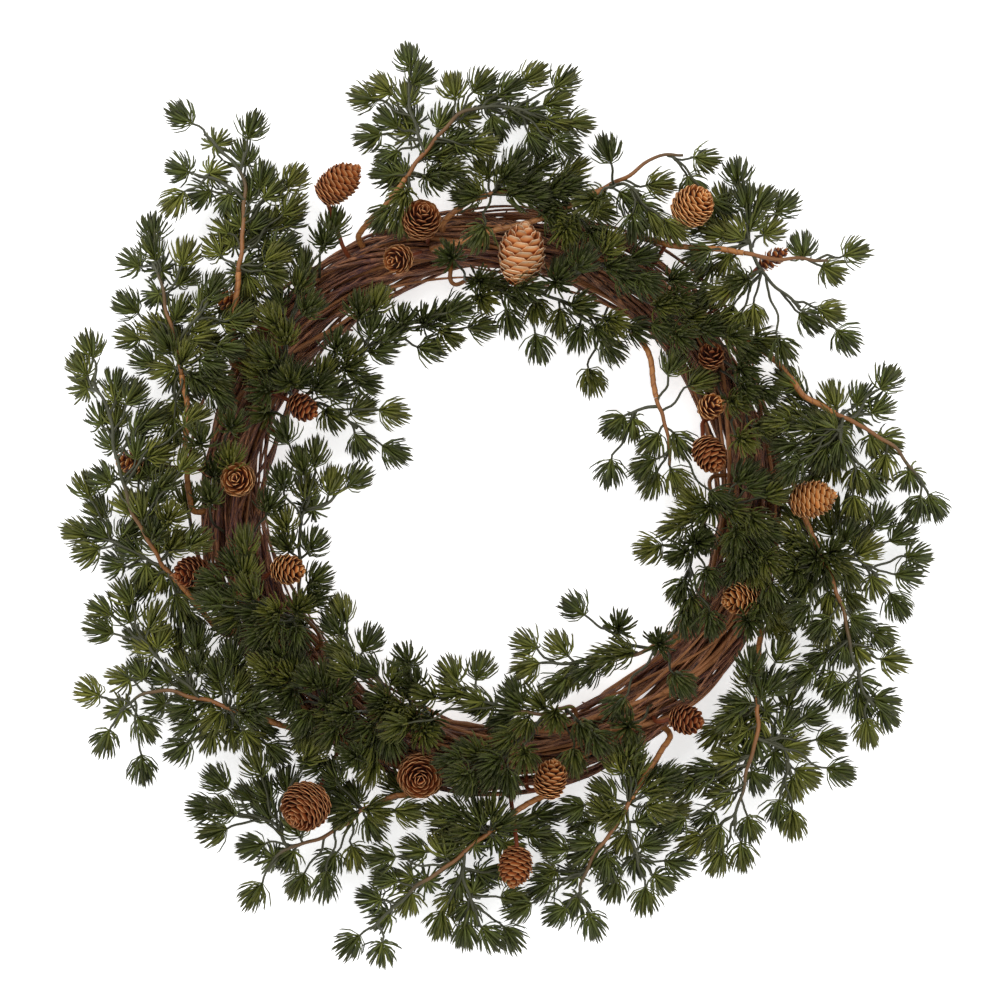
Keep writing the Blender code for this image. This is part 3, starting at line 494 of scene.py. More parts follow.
class Ledger:
    """The rods laid so far and the node each belongs to, to keep different nodes apart."""

    def __init__(self):
        self.ends, self.radii, self.owners = np.zeros((0, 2, 3)), np.zeros(0), np.zeros(0, "U40")

    def add(self, name, curve, radius):
        rods = rods_of(curve)
        self.ends = np.concatenate((self.ends, rods))
        self.radii = np.append(self.radii, [radius] * len(rods))
        self.owners = np.append(self.owners, [name] * len(rods))

    def gaps_to(self, wanted, rods, radius):
        """The gap from each rod to each wanted rod that is near enough to matter."""
        middle = rods.mean(axis=(0, 1))
        reach = np.linalg.norm(rods - middle, axis=2).max() + NEAR_RODS
        near = wanted & (np.linalg.norm(self.ends.mean(axis=1) - middle, axis=1) < reach)
        if not near.any():
            return np.full((len(rods), 1), NEAR_RODS)
        return rod_distance(rods[:, None], self.ends[None, near]) - radius - self.radii[near]

    def gaps(self, name, rods, radius, spare=""):
        """For each rod, its smallest gap to the other nodes, a spared one left out."""
        others = (self.owners != name) & (self.owners != spare)
        return self.gaps_to(others, rods, radius).min(axis=1)

    def crossings(self, name, rods, radius):
        """For each rod, how many rods of its own node it runs into."""
        return (self.gaps_to(self.owners == name, rods, radius) < OWN_CLEARANCE).sum(axis=1)


def choose_stalk(ledger, name, clock, section, base, way):
    """The clear stalk that leads best from a cone's base into the ring."""
    found = []
    for turn in STALK_TURNS:
        for swing in STALK_SWINGS:
            foot, mouth = socket(clock + turn, section + swing)
            stalk = smooth([foot, mouth, base], STALK_STEP)
            rods = rods_of(stalk)
            if (ledger.gaps(name, rods, STALK_RADIUS) < STALK_CLEARANCE).any():
                continue
            run = stalk[-1] - mouth
            cost = np.linalg.norm(run) - STRAIGHT_WORTH * (unit(run) @ way) + TURN_COST * abs(turn)
            if not clear_of_ring(rods[1:], STALK_RADIUS).all():
                cost += GRAZE_COST
            found.append((cost, stalk))
    if not found:
        raise ValueError(f"{name} has no clear stalk")
    return min(found, key=lambda one: one[0])[1]


def lay_cone(ledger, name, entry):
    """A cone's place and stalk, entered in the ledger."""
    clock, radius, height, length, width, heading, lift, section, sun_fading_and_painted_light = entry
    place = at(clock, radius, height)
    way = around(at(heading, 1.0, 0.0), UP, math.radians(lift))
    base = place - (0.5 - STALK_IN_CONE) * length * way
    stalk = choose_stalk(ledger, name, clock, section, base, way)
    ledger.add(name, stalk, STALK_RADIUS)
    core = CONE_CORE * length * way
    ledger.add(name, np.array((place - core, place + core)), 0.5 * width)
    if height > SEEN_CONE_HEIGHT:
        ledger.add(name, np.array((place, place + CONE_SHADE * UP)), SEEN_CONE_WIDTH * width)
    return dict(name=name, place=place, way=way, length=length, width=width, stalk=stalk, sun_fading_and_painted_light=sun_fading_and_painted_light)


def cone_scale(foot, out, way, reach, wide, lift):
    """One scale, a thin cupped plate: its points, its faces and how near each point is to the rim."""
    side = np.cross(way, out)
    s = np.linspace(0.0, 1.0, SCALE_ROWS)[:, None]
    c = np.linspace(-1.0, 1.0, SCALE_COLUMNS)[None, :]
    half = wide * (0.30 + 0.70 * np.sin(0.5 * math.pi * np.minimum(1.0, 1.5 * s)))
    half = half * np.sqrt(np.maximum(0.0, 1.0 - np.clip((s - 0.62) / 0.46, 0.0, 1.0) ** 2))
    lean = lift + 0.25 * s - 0.25 * s ** 2
    ahead = reach * s * (1.0 - 0.10 * c ** 2)
    rise = SCALE_CUP * wide * c ** 2 * (0.3 + 0.7 * s)
    forward = np.cos(lean) * ahead + np.sin(lean) * -rise * 0.4 + rise * 0.5
    outward = np.sin(lean) * ahead + np.cos(lean) * rise * -0.2
    middle = foot + forward[..., None] * way + outward[..., None] * out + (half * c)[..., None] * side
    thick = SCALE_THICKNESS * (1.3 - 0.6 * s) * (1.0 - 0.45 * c ** 2)
    face = unit(math.cos(lift) * out - math.sin(lift) * way)
    points = np.stack([middle + share * thick[..., None] * face for share in (-0.5, 0.5)])
    size = SCALE_ROWS * SCALE_COLUMNS
    grid = np.arange(size).reshape(SCALE_ROWS, SCALE_COLUMNS)
    faces = []
    for a in grid[:-1, :-1].ravel():
        b = a + SCALE_COLUMNS
        faces += [(a, b, b + 1, a + 1), (size + a, size + a + 1, size + b + 1, size + b)]
    rim = [*grid[:, 0], *grid[-1, 1:], *grid[-2::-1, -1], *grid[0, -2:0:-1]]
    faces += [(b, size + b, size + a, a) for a, b in zip(rim, rim[1:] + rim[:1])]
    edge = np.maximum(s, 0.35 * s + 0.65 * np.abs(c) * s)
    return points, faces, np.tile(edge.ravel(), 2)


def cone_girth(t):
    """How far a cone's scales reach from its middle line, from its foot at 0 to its tip at 1."""
    return math.sin(math.pi * (0.12 + 0.80 * t) ** 0.85) ** 0.6


def cross_pair(way):
    """Two directions square to a way and to each other."""
    side = unit(np.cross(way, ODD_WAY))
    return side, np.cross(way, side)


ledger = Ledger()
cones = [lay_cone(ledger, f"cone_{i + 1:02d}", entry) for i, entry in enumerate(CONES)]


def dry_scale_material(name, root, back, faded_back, rim):
    """Dry scales: dull, mottled in patches of 6 mm and finer, painted shade at the root, painted highlight at
    the rim.
    """
    material, tree, shader = start_material(name)
    outwards, sun_fading_and_painted_light, own, place = surface_values(tree)
    mottle_scale = 1.0 / (CONE_MOTTLE * MM)
    mottle = add_node(tree, "TexNoise", {"Vector": place, "Scale": mottle_scale, "Detail": 4.0})
    # Painted shade: each scale darkens towards its root, in the gaps between the scales.
    low = add_node(tree, "MapRange", {0: outwards, 1: 0.50, 2: 0.84})
    # Painted highlight along each scale's rim, stronger on the more bleached cones.
    high = add_node(tree, "MapRange", {0: outwards, 1: 0.78, 2: 1.0, 4: 1.9})
    ends = add_node(tree, "Math", {0: high, 1: mottle}, operation="MULTIPLY")
    rim_highlight_strength = add_node(tree, "MapRange", {0: sun_fading_and_painted_light, 3: 0.5, 4: 1.1})
    painted_rim_highlight = add_node(tree, "Math", {0: ends, 1: rim_highlight_strength}, operation="MULTIPLY")
    outside = add_node(tree, "Mix", {0: sun_fading_and_painted_light, 6: back, 7: faded_back}, data_type="RGBA")
    body = add_node(tree, "Mix", {0: low, 6: root, 7: outside}, data_type="RGBA")
    tips = add_node(tree, "Mix", {0: painted_rim_highlight, 6: body, 7: rim}, data_type="RGBA")
    shade = add_node(tree, "MapRange", {0: own, 3: 0.72, 4: 1.12})
    # Painted light and shade cone by cone: darker deep in the needles, brighter where the cone stands clear.
    light = add_node(tree, "MapRange", {0: sun_fading_and_painted_light, 2: 1.4, 3: 0.82, 4: 1.22})
    tone = add_node(tree, "Math", {0: shade, 1: light}, operation="MULTIPLY")
    final = add_node(tree, "VectorMath", {0: tips, "Scale": tone}, operation="SCALE")
    finish_surface(tree, shader, final, mottle, 0.4, 0.3, 0.70, 0.52)
    return material


# The colours: the root, darkened as painted shade; the back, fresh and bleached; the rim, a painted
# highlight.
open_scales = dry_scale_material("dry cone scales", "#4e1c0a", "#b8561c", "#d67d30", "#f0b87a")
pale_scales = dry_scale_material("pale dry cone scales", "#b9652c", "#f2a664", "#f2a664", "#fad9b0")
for number, cone in enumerate(cones):
    chance = random.Random(number)
    shape = Shape()
    pale = cone["name"] == PALE_CONE_NAME
    many, stand, broad = PALE_SCALES if pale else OPEN_SCALES
    way, length, width, sun_fading_and_painted_light = cone["way"], cone["length"], cone["width"], cone["sun_fading_and_painted_light"]
    cross = cross_pair(way)
    count = round(math.pi * length * width / SCALE_AREA * many)
    size = 0.5 * width
    shares = np.linspace(0.0, 1.0, CORE_STEPS)
    core = np.array([cone["place"] + (CORE_RUN * t + CONE_FOOT) * length * way for t in shares])
    radii = [CORE_WIDTH * size * cone_girth(t) * (1.0 - 0.8 * t ** 3) for t in shares]
    # The core takes the scales' root colour: painted shade for the dark middle between the scales.
    shape.tube(core, radii, CORE_SIDES, tones=(0.0, sun_fading_and_painted_light, 0.0))
    for i in range(count):
        t = (i + 0.5) / count
        out = around(*cross, i * GOLDEN_TURN)
        closed = 1.0 - TIP_CLOSING * max(0.0, 4.0 * t - 3.0) ** 1.5
        girth = size * cone_girth(t) * chance.uniform(*GIRTH_SPREAD) * closed
        lift = (SCALE_LIFT[0] + SCALE_LIFT[1] * (1 - t) ** 0.8) * stand + chance.uniform(*LIFT_SPREAD)
        reach = min(SCALE_REACH * width * (1.0 - 0.35 * t), 0.9 * girth / math.sin(lift) + 1.0)
        rim = cone["place"] + (SCALES_RUN * t + CONE_FOOT) * length * way + girth * out
        foot = rim - reach * around(way, out, lift)
        wide = (SCALE_WIDTH[0] * size + SCALE_WIDTH[1] * girth) * chance.uniform(*WIDTH_SPREAD) * broad
        points, faces, edge = cone_scale(foot, out, way, reach, wide, lift)
        shape.add(points, faces, edge, sun_fading_and_painted_light, chance.random())
    stalk = smooth(cone["stalk"], FINE_STALK_STEP)
    shape.tube(stalk, np.full(len(stalk), STALK_RADIUS), STALK_SIDES, tones=STALK_TONES)
    shape.piece(cone["name"] + "_scales", pale_scales if pale else open_scales,
                "pale cone scale" if pale else "cone scale", cone["name"])


# ======== The wrapped stems ========
# The butt of each spray: a wire wound in orange-brown paper tape, whose turns overlap like a
# bandage. It is pushed into the ring and bent along it, and the leafy part grows out of its end.

WOOD_RADIUS = 2.4
CURVE_STEP = 18.0
LIFTS = (0, 4, -4, 8, -8, 12, -12, 16, -16, 20, 24, 28)
TAPE_PITCH = 6.5
TAPE_EDGE = 0.35
TAPE_WEAR = 9.0
CREPE = 1.2
STEM_SIDES = 14
STEM_STEP = 1.2
STEM_SWAY = 0.35
STEM_RADII = (2.1, 1.9)
# In each of its two cross directions a sway is a slow wave with a lower, quick one on it.
SWAY_WAVES = ((7.0, 3.7), (8.5, 4.3))
QUICK_SWAY = 0.6
SWAY_FADE = 8.0

# butt: where it leaves the ring, as a clock angle and the direction round the ring's section (0
# outward, 90 up, 180 inward). stem: the wrapped stretch. branches: leafy branches, the first
# carrying on from the stem and the others leaving the first. tufts: the middle of each tuft.
WOODY_SPRAYS = {
    "upper_left": dict(
        butt=(298, 45), stem=((306, 215, 53), (312, 231, 55)),
        branches=(((317, 248, 56), (320.5, 264, 56), (322.5, 281, 53), (322.3, 300, 49), (321.8, 317, 46)),
                  ((324.6, 290, 55),),
                  ((319.5, 286, 51), (317.6, 300, 48))),
        tufts=((321, 340), (322, 311), (327.4, 304), (316.7, 312), (325.3, 267), (329, 256), (320, 247),
               (326.6, 240), (314.5, 232))),
    "left_upper": dict(
        butt=(268, 35), stem=((277, 210, 51), (286.6, 216, 54), (292, 227, 55)),
        branches=(((295.5, 238, 56), (299.5, 252, 56), (303, 268, 53), (305, 282, 49)),
                  ((299, 236, 64), (305, 234, 67))),
        tufts=((308.9, 299), (309.6, 266), (302.8, 295), (303, 273), (309, 239), (296.5, 260),
               (301.6, 245), (299.4, 224), (292.6, 243), (294.5, 208), (306.5, 205))),
    "left": dict(
        butt=(243, 35), stem=((251, 214, 51), (257, 224, 54)),
        branches=(((264, 236, 55), (271, 248, 55), (278, 258, 53), (284, 270, 49), (286.5, 283, 46)),
                  ((262, 248, 50), (264.6, 268, 46))),
        tufts=((287.7, 295), (287.5, 268), (281.5, 276), (287, 252), (272.5, 279), (269.3, 249),
               (265.6, 287), (278.5, 236), (284.5, 235), (271.5, 226), (286, 205), (278, 203))),
    "left_lower": dict(
        butt=(219, 35), stem=((226, 214, 51), (231, 226, 54)),
        branches=(((236, 240, 55), (239.5, 256, 54), (241, 274, 50), (240.5, 291, 46)),
                  ((243, 248, 58), (249, 257, 55))),
        tufts=((245, 307), (240.5, 289), (237.8, 314), (232.1, 300), (230.8, 275), (254.7, 279),
               (256.5, 257), (249.5, 263), (245, 277), (247, 239), (241, 222), (240, 200))),
    "lower_left": dict(
        butt=(191, 40), stem=((198, 212, 50), (202, 226, 48)),
        branches=(((204.5, 243, 43), (207, 260, 41), (210.5, 275, 42), (211.3, 297, 42)),
                  ((214, 266, 42), (219, 275, 46))),
        tufts=((223.5, 290), (219.5, 300), (215.3, 289), (211, 318), (207.5, 298), (203, 290),
               (221, 262), (222, 238), (215, 206))),
    "bottom": dict(
        butt=(168, 40), stem=((175, 211, 50), (180, 224, 53)),
        branches=(((184.5, 240, 55), (188.5, 256, 54), (192, 274, 50), (194.5, 292, 46), (195.5, 303, 44)),
                  ((184, 262, 49), (182.5, 280, 45))),
        tufts=((198.4, 318), (197.2, 281), (192.9, 318), (187.8, 293), (190.1, 266), (183.5, 279),
               (180.1, 301), (198, 252), (187, 231), (182, 208))),
    "lower_right": dict(
        butt=(143, 40), stem=((150, 212, 51), (155, 224, 54)),
        branches=(((160, 238, 55), (164, 252, 53), (167, 267, 49), (167.5, 281, 46)),
                  ((157.5, 248, 50), (158, 266, 46))),
        tufts=((177.1, 279), (171.7, 286), (169, 264), (163.5, 279), (165.9, 298), (158.9, 296),
               (152.2, 277), (170.5, 239), (161, 225))),
    "right_bottom": dict(
        butt=(115, 40), stem=((122, 213, 51), (127, 226, 54)),
        branches=(((132, 241, 55), (137, 254, 53), (141, 266, 49), (143.5, 276, 46)),
                  ((130.5, 258, 49), (132.5, 277, 45))),
        tufts=((148.5, 292), (147, 272), (142, 251), (140.8, 286), (137.5, 304), (133.9, 285),
               (129.5, 304), (124.9, 285), (147, 231), (134, 227), (126, 253), (151.5, 250))),
    "right_lower": dict(
        butt=(86, 35), stem=((93, 213, 51), (99, 225, 54)),
        branches=(((104, 240, 55), (109, 254, 53), (113.5, 268, 49), (117, 283, 46), (118.3, 296, 44)),
                  ((99.5, 250, 50), (101, 268, 46))),
        tufts=((118.6, 309), (119, 288), (119.5, 266), (111.6, 298), (112.8, 274), (105, 288),
               (100, 291), (94.4, 283), (97, 260), (112.5, 241), (109, 219), (104, 203))),
    "right_upper": dict(
        butt=(57, 35), stem=((65, 216, 51), (72, 225, 54), (75.8, 240, 54)),
        branches=(((77.8, 252, 54), (80.6, 266, 51), (83.2, 278, 48), (86.3, 289, 46), (89, 297, 44)),
                  ((80.5, 240, 61), (84.5, 250, 58))),
        tufts=((91.3, 303), (87.2, 285), (87.5, 262), (81.5, 273), (76, 272), (92, 243), (83, 221),
               (77.5, 228), (84, 199))),
    "upper_right": dict(
        butt=(27, 35), stem=((35, 211, 51), (41, 226, 54), (45.5, 239, 54)),
        branches=(((48.8, 250, 52), (51.5, 263, 49), (54.5, 281, 46)),
                  ((43.5, 251, 50), (42.2, 263, 48)),
                  ((52.5, 240, 58), (58, 247, 56))),
        tufts=((55.3, 301), (51.5, 277), (57.2, 278), (46.4, 267), (39, 265), (42.3, 279),
               (61, 266), (60.5, 247), (65.3, 267), (45.6, 223), (55.2, 212), (64, 218))),
    "top_right": dict(
        butt=(347, 95),
        stem=((353, 177, 57), (1, 183, 61), (10, 194.5, 62), (15.5, 209, 61), (19.5, 224, 59)),
        branches=(((23.5, 244, 56), (26, 260, 53), (29, 268, 51)),
                  ((22.5, 231, 65), (25.5, 231, 67))),
        tufts=((32.2, 274), (30, 241), (26.6, 219), (16, 251), (38.5, 247))),
    "top": dict(
        butt=(333, 40), stem=((340, 213, 51), (345, 226, 54)),
        branches=(((349, 240, 55), (352.5, 254, 54), (356.5, 265, 53), (1.5, 268, 52), (6, 263, 50)),
                  ((348.6, 258, 50), (348, 275, 47), (348.8, 290, 45))),
        tufts=((349.5, 309), (344.8, 295), (343.9, 269), (354.5, 245), (343.4, 241), (359.6, 236),
               (2.1, 284), (10, 294), (9.8, 262), (12, 241), (354, 285), (354, 221))),
    "top_face": dict(
        butt=(350, 65), stem=((355, 203, 50), (359, 207, 50)),
        branches=(((5, 210, 50), (11, 211, 50), (17, 208, 50)),),
        tufts=((1.5, 221), (7, 216), (14.5, 220), (7.8, 237), (15, 235), (21.5, 210), (20.5, 188))),
    "inner_right_upper": dict(
        butt=(40, 150), stem=((46, 147, 53), (52, 138, 53), (58, 131.5, 52)),
        branches=(((64, 130, 51), (71, 127, 50), (79, 123, 48)),
                  ((59, 121, 49), (58, 109, 47))),
        tufts=((57.8, 95), (68.6, 111), (79, 84), (74, 103), (84, 106), (83, 128), (90, 158))),
}


def lively(curve, step, sway, seed):
    """A finer curve through the same points, with a small sway of its own."""
    fine = smooth(curve, step)
    drift = random.Random(seed)
    phases = [drift.uniform(0, math.tau) for _ in range(4)]
    run = run_along(fine)
    fade = np.minimum(1.0, np.minimum(run, run[-1] - run) / SWAY_FADE)
    waves = [np.sin(run / slow + phases[2 * i]) + QUICK_SWAY * np.sin(run / quick + phases[2 * i + 1])
             for i, (slow, quick) in enumerate(SWAY_WAVES)]
    across = (np.stack(waves, axis=-1)[..., None] * frames_along(fine)).sum(axis=1)
    return fine + sway * fade[:, None] * across


def settle(ledger, name, route, radius, fixed, free_start, spare=""):
    """The route's smooth curve, raised or lowered past its fixed points until it is clear.

    It has to clear every other node but the spared one and, past its first rods, the ring.
    """
    for lift in LIFTS:
        moved = [point + (lift if i >= fixed else 0) * UP for i, point in enumerate(route)]
        curve = smooth(moved, CURVE_STEP)
        rods = rods_of(curve)
        if (ledger.gaps(name, rods, radius, spare) < ROD_CLEARANCE).any():
            continue
        if clear_of_ring(rods[free_start:], radius).all():
            return curve
    raise ValueError(f"{name} has no clear way")


def tape(run, turn):
    """The overlap of the tape: a low step that winds round the stem."""
    return TAPE_EDGE * ((run / TAPE_PITCH - turn / math.tau) % 1.0 - 0.5)


stems = {}
for name, entry in WOODY_SPRAYS.items():
    route = [*socket(*entry["butt"]), *(at(*place) for place in entry["stem"])]
    stems[name] = settle(ledger, name + "_stem", route, WOOD_RADIUS, 2, 2)
    ledger.add(name + "_stem", stems[name], WOOD_RADIUS)

# Crepe paper tape, waxed: dull orange brown, rougher in the creases between turns and darkened
# there with painted shade, with the fine crinkle of the crepe every 1.2 mm.
paper_tape, tree, shader = start_material("waxed paper tape")
run, turn, own, place = surface_values(tree)
wear = add_node(tree, "TexNoise", {"Vector": place, "Scale": 1.0 / (TAPE_WEAR * MM), "Detail": 4.0})
crepe = add_node(tree, "TexNoise", {"Vector": place, "Scale": 1.0 / (CREPE * MM), "Detail": 2.0})
turns = add_node(tree, "Math", {0: run, 1: TAPE_PITCH}, operation="DIVIDE")
wound = add_node(tree, "Math", {0: turn, 1: math.tau}, operation="DIVIDE")
shift = add_node(tree, "Math", {0: turns, 1: wound}, operation="SUBTRACT")
lap = add_node(tree, "Math", {0: shift}, operation="FRACT")
crease = add_node(tree, "MapRange", {0: lap, 1: 0.0, 2: 0.22})
warm = add_node(tree, "Mix", {0: wear, 6: "#713f18", 7: "#ba7e40"}, data_type="RGBA")
# The crease colour is painted shade at the foot of each turn's overlapping edge.
paper = add_node(tree, "Mix", {0: crease, 6: "#744020", 7: warm}, data_type="RGBA")
relief = add_node(tree, "Bump", {"Height": crepe, "Strength": 0.5, "Distance": 0.25 * MM})
waxy = add_node(tree, "MapRange", {0: crease, 3: 0.72, 4: 0.48})
fill_inputs(tree, shader, {"Base Color": paper, "Normal": relief, "Roughness": waxy})
for name, curve in stems.items():
    fine = lively(curve, STEM_STEP, STEM_SWAY, name)
    shape = Shape()
    shape.tube(fine, np.linspace(*STEM_RADII, len(fine)), STEM_SIDES, 0.0, tape)
    shape.piece(name + "_wrapped_stem", paper_tape, "wrapped stem", name + "_stem")


# ======== The leafy sprays ========
# Forking twigs moulded in grey-green polyethylene over wire, each ending in a brush of some fifty
# needles. The needles are moulded from mixed green and olive stock, so brushes differ in tone.

BRANCH_RADIUS = 1.9
SIDE_BRANCH_RADIUS = 1.5
BRANCH_TIP_RADIUS = 1.2
TWIG_RADIUS = 1.15
TWIG_TIP_RADIUS = 0.9
BRANCH_SIDES = 7
TWIG_SIDES = 5
BRANCH_STEP = 2.5
BRANCH_SWAY = 0.7
TWIG_STEP = 3.5
TWIG_SWAY = 1.5
TWIG_BEND = 0.36
TWIG_END = 2.0
BRUSH_FOOT = 1.2
BARE_WOOD = 0.85
FACE_GAP = 0.3
FIRST_RUN = 6.0
NEEDLE_LENGTH = 18.5
NEEDLE_RADIUS = 0.5
NEEDLE_CLEARANCE = 0.8
NEEDLE_SPREAD = (38.0, 64.0)
SPREAD_TURNS = (60, 0)
NEEDLE_SWING = 8.0
TUFT_NEEDLES = 7
NEEDLE_GROWTH = (0.9, 1.08)
BUD_LENGTH = 2.4
TUFT_SETBACK = 8.5
TWIG_LEAVE = (0.15, 0.5)
ROOT_SLIDE = (0.25, 0.75)
STRAIGHT_TWIG = 60.0
SHORTEST_TWIG = 9.0
SHORTEST_REACH = 10.0
TURN_BACK_COST = 1.3
TURNED_BACK = -0.1
LAST_RESORT = 200.0
TRIES = 30
TRY_COST = 0.04
CROSSING_COST = 0.5
TWIG_CROSSING_COST = 0.8
FREE_TWIG_CROSSINGS = 1
FEWEST_NEEDLES = 5
GOOD_SCORE = 6.2
LOWEST_SCORE = 4.8
DOME_EDGE = 31.0
DOME_RISE = 44.0
DOME_WIDTH = 62.0
DOME_WANDER = 8.0
WANDER_PER_TRY = 0.9
CLOCK_WANDER_PER_TRY = 0.1
NEEDLE_MOULD = 4.0
TWIG_MOTTLE = 12.0
STEM_COLOUR_RUN = (20.0, 75.0)

# Sprays that reach in round the hole and over the face: leafy from where they leave the ring.
LEAFY_SPRAYS = {
    "inner_upper_left": dict(
        butt=(288, 150),
        branches=(((296, 150, 55), (305, 140, 56), (314, 134, 56), (324, 134, 55), (334, 131, 53),
                   (342, 126, 51)),
                  ((299, 134, 50), (299.5, 119, 48), (298, 104, 46)),
                  ((301, 164, 58), (308, 177, 60), (314, 187, 58))),
        tufts=((325, 144), (334, 137), (345.1, 131), (345, 114), (352, 131), (315, 130), (312, 113),
               (314.5, 91), (303.5, 104), (296, 123), (290.5, 97), (296, 71), (303, 182),
               (310, 195), (317, 176), (319, 197))),
    "inner_left": dict(
        butt=(230, 150),
        branches=(((239, 150, 55), (248, 141, 56), (258, 134, 55), (267, 128, 53), (276, 123, 51)),
                  ((268, 116, 48), (273, 105, 46)),
                  ((240, 163, 58), (247, 175, 60), (253, 181, 58))),
        tufts=((280.2, 91), (286, 124), (278, 112), (268, 117), (264, 145), (254.6, 121), (242, 134),
               (275, 147), (289, 151), (243, 182), (250, 195), (257, 176))),
    "inner_lower_left": dict(
        butt=(196, 150),
        branches=(((204, 151, 55), (213, 145, 56), (222, 140, 54), (230, 134, 51)),
                  ((208, 163, 58), (215, 174, 60), (223, 181, 60), (230, 184, 58))),
        tufts=((235, 124), (220.7, 124), (226, 148), (211.5, 134), (206, 117), (209, 183), (217, 190),
               (226, 170), (231, 199), (235, 176))),
    "inner_bottom": dict(
        butt=(159, 150),
        branches=(((166, 150, 55), (174, 143, 55), (182, 138, 53), (189, 132, 51)),
                  ((173, 163, 58), (179, 174, 60), (185, 181, 58))),
        tufts=((194, 116), (183.6, 111), (199, 143), (178, 157), (180, 191), (185, 166), (188, 188),
               (204, 168))),
    "inner_lower_right": dict(
        butt=(127, 150),
        branches=(((133, 148, 53), (140, 138, 53), (148, 128, 51), (156, 121, 49), (163, 116, 47)),
                  ((137.5, 131, 49), (138.5, 114, 47))),
        tufts=((166.5, 97), (169.5, 117), (153, 108), (150.5, 139), (143.5, 91), (134.5, 116), (162, 138),
               (150, 166))),
    "inner_right_lower": dict(
        butt=(84, 150),
        branches=(((91, 149, 53), (98, 143, 53), (106, 141, 52), (114, 143, 50)),
                  ((93, 163, 58), (99, 175, 60), (104, 182, 58))),
        tufts=((98, 121), (106.5, 108), (108, 132), (116.5, 140), (122.5, 156), (92, 132), (96, 189),
               (100, 163), (103, 195), (120, 172), (110, 158))),
    "inner_top": dict(
        butt=(350, 150),
        branches=(((357, 151, 53), (5, 146, 54), (14, 144, 54), (23, 144, 53), (31, 141, 50)),
                  ((18, 159, 57), (23, 171, 58), (27, 181, 57))),
        tufts=((5, 118), (16.5, 105), (27, 122), (39.3, 127), (36, 146), (11.5, 130), (357, 131),
               (32, 170), (20, 173), (45, 168), (25, 193))),
}


def best_root(curves, target, slide=0.0):
    """Where a twig leaves best for a target: the point, the way along there and the reach.

    The branch should be near, with the target ahead of it.
    """
    found = []
    for curve in curves:
        for before, after in zip(curve, curve[1:]):
            run = unit(after - before)
            root = after + slide * (before - after)
            reach = np.linalg.norm(target - root)
            facing = run @ (target - root) / max(reach, 1.0)
            cost = reach * (1.0 + TURN_BACK_COST * (1.0 - facing))
            if facing < TURNED_BACK or reach < SHORTEST_REACH:
                cost += LAST_RESORT
            found.append((cost, root, run, reach))
    return min(found, key=lambda one: one[0])[1:]


def grow_branches(ledger, name, start, branches):
    """The leafy branches: the first carries on from the start, the others leave the first."""
    curves = []
    for branch in branches:
        route = [at(*place) for place in branch]
        begin = [best_root(curves[:1], route[0])[0]] if curves else start
        radius = SIDE_BRANCH_RADIUS if curves else BRANCH_RADIUS
        fixed = len(begin)
        curve = settle(ledger, name, [*begin, *route], radius, fixed, fixed - 1, name + "_stem")
        ledger.add(name, curve, radius)
        curves.append(curve)
    return curves


def twig_curve(curves, middle, leave, slide):
    """A twig from the branch point that suits a tuft best, bending towards the tuft's middle."""
    root, run, reach = best_root(curves, middle, slide)
    handle = root + leave * reach * run
    way = unit(middle - handle)
    end = middle - TUFT_SETBACK * way
    if np.linalg.norm(end - root) < SHORTEST_TWIG:
        end = root + SHORTEST_TWIG * way
    if reach < STRAIGHT_TWIG:
        return np.array((root, end))
    return np.array((root, 0.25 * root + 0.5 * handle + 0.25 * end, end))


def dome(radius):
    """The height of the wreath's face at a radius."""
    return DOME_EDGE + DOME_RISE * math.exp(-((radius - RING_RADIUS) / DOME_WIDTH) ** 2)


def needle_ways(way, side, up, swing):
    """The directions of a tuft's seven needles: three leaning, three spread and one forward."""
    ways = []
    for group, (first, lean) in enumerate(zip(SPREAD_TURNS, NEEDLE_SPREAD)):
        for k in range(3):
            tilt = math.radians(lean + swing[3 * group + k])
            ways.append(around(way, around(side, up, math.radians(first + 120 * k)), tilt))
    return np.array([*ways, way])


def try_tuft(ledger, name, curves, clock, radius, attempt, chance):
    """One random try at a tuft: its score, twig and needles, or None where its twig is not clear."""
    wander = DOME_WANDER + WANDER_PER_TRY * attempt
    height = dome(radius) + chance.uniform(-wander, wander)
    turn = chance.uniform(-1, 1) * attempt * CLOCK_WANDER_PER_TRY
    leave, slide = chance.uniform(*TWIG_LEAVE), chance.uniform(*ROOT_SLIDE)
    twig = twig_curve(curves, at(clock + turn, radius, height), leave, slide)
    rods = rods_of(twig)
    swing = [chance.uniform(-NEEDLE_SWING, NEEDLE_SWING) for _ in range(TUFT_NEEDLES - 1)]
    lengths = NEEDLE_LENGTH * np.array([chance.uniform(*NEEDLE_GROWTH) for _ in range(TUFT_NEEDLES)])
    spin = chance.uniform(0.0, math.tau)
    if (ledger.gaps(name, rods, TWIG_RADIUS) < ROD_CLEARANCE).any():
        return None
    if not clear_of_ring(rods, TWIG_RADIUS).all():
        return None
    way = unit(twig[-1] - twig[-2])
    bud = twig[-1] + 0.5 * BUD_LENGTH * way
    tips = bud + lengths[:, None] * needle_ways(way, *frames_along(twig, spin)[-1], swing)
    needles = np.stack((np.broadcast_to(bud, tips.shape), tips), axis=1)
    free = ledger.gaps(name, needles, NEEDLE_RADIUS) > NEEDLE_CLEARANCE
    free &= clear_of_ring(needles, NEEDLE_RADIUS)
    crossed = ledger.crossings(name, needles, NEEDLE_RADIUS) > 0
    if (free & ~crossed).sum() >= FEWEST_NEEDLES:
        free &= ~crossed
    twig_crossings = ledger.crossings(name, rods, TWIG_RADIUS).sum()
    score = free.sum() - TRY_COST * attempt - CROSSING_COST * (crossed & free).sum()
    score -= TWIG_CROSSING_COST * max(0, twig_crossings - FREE_TWIG_CROSSINGS)
    return score, twig, needles[free]


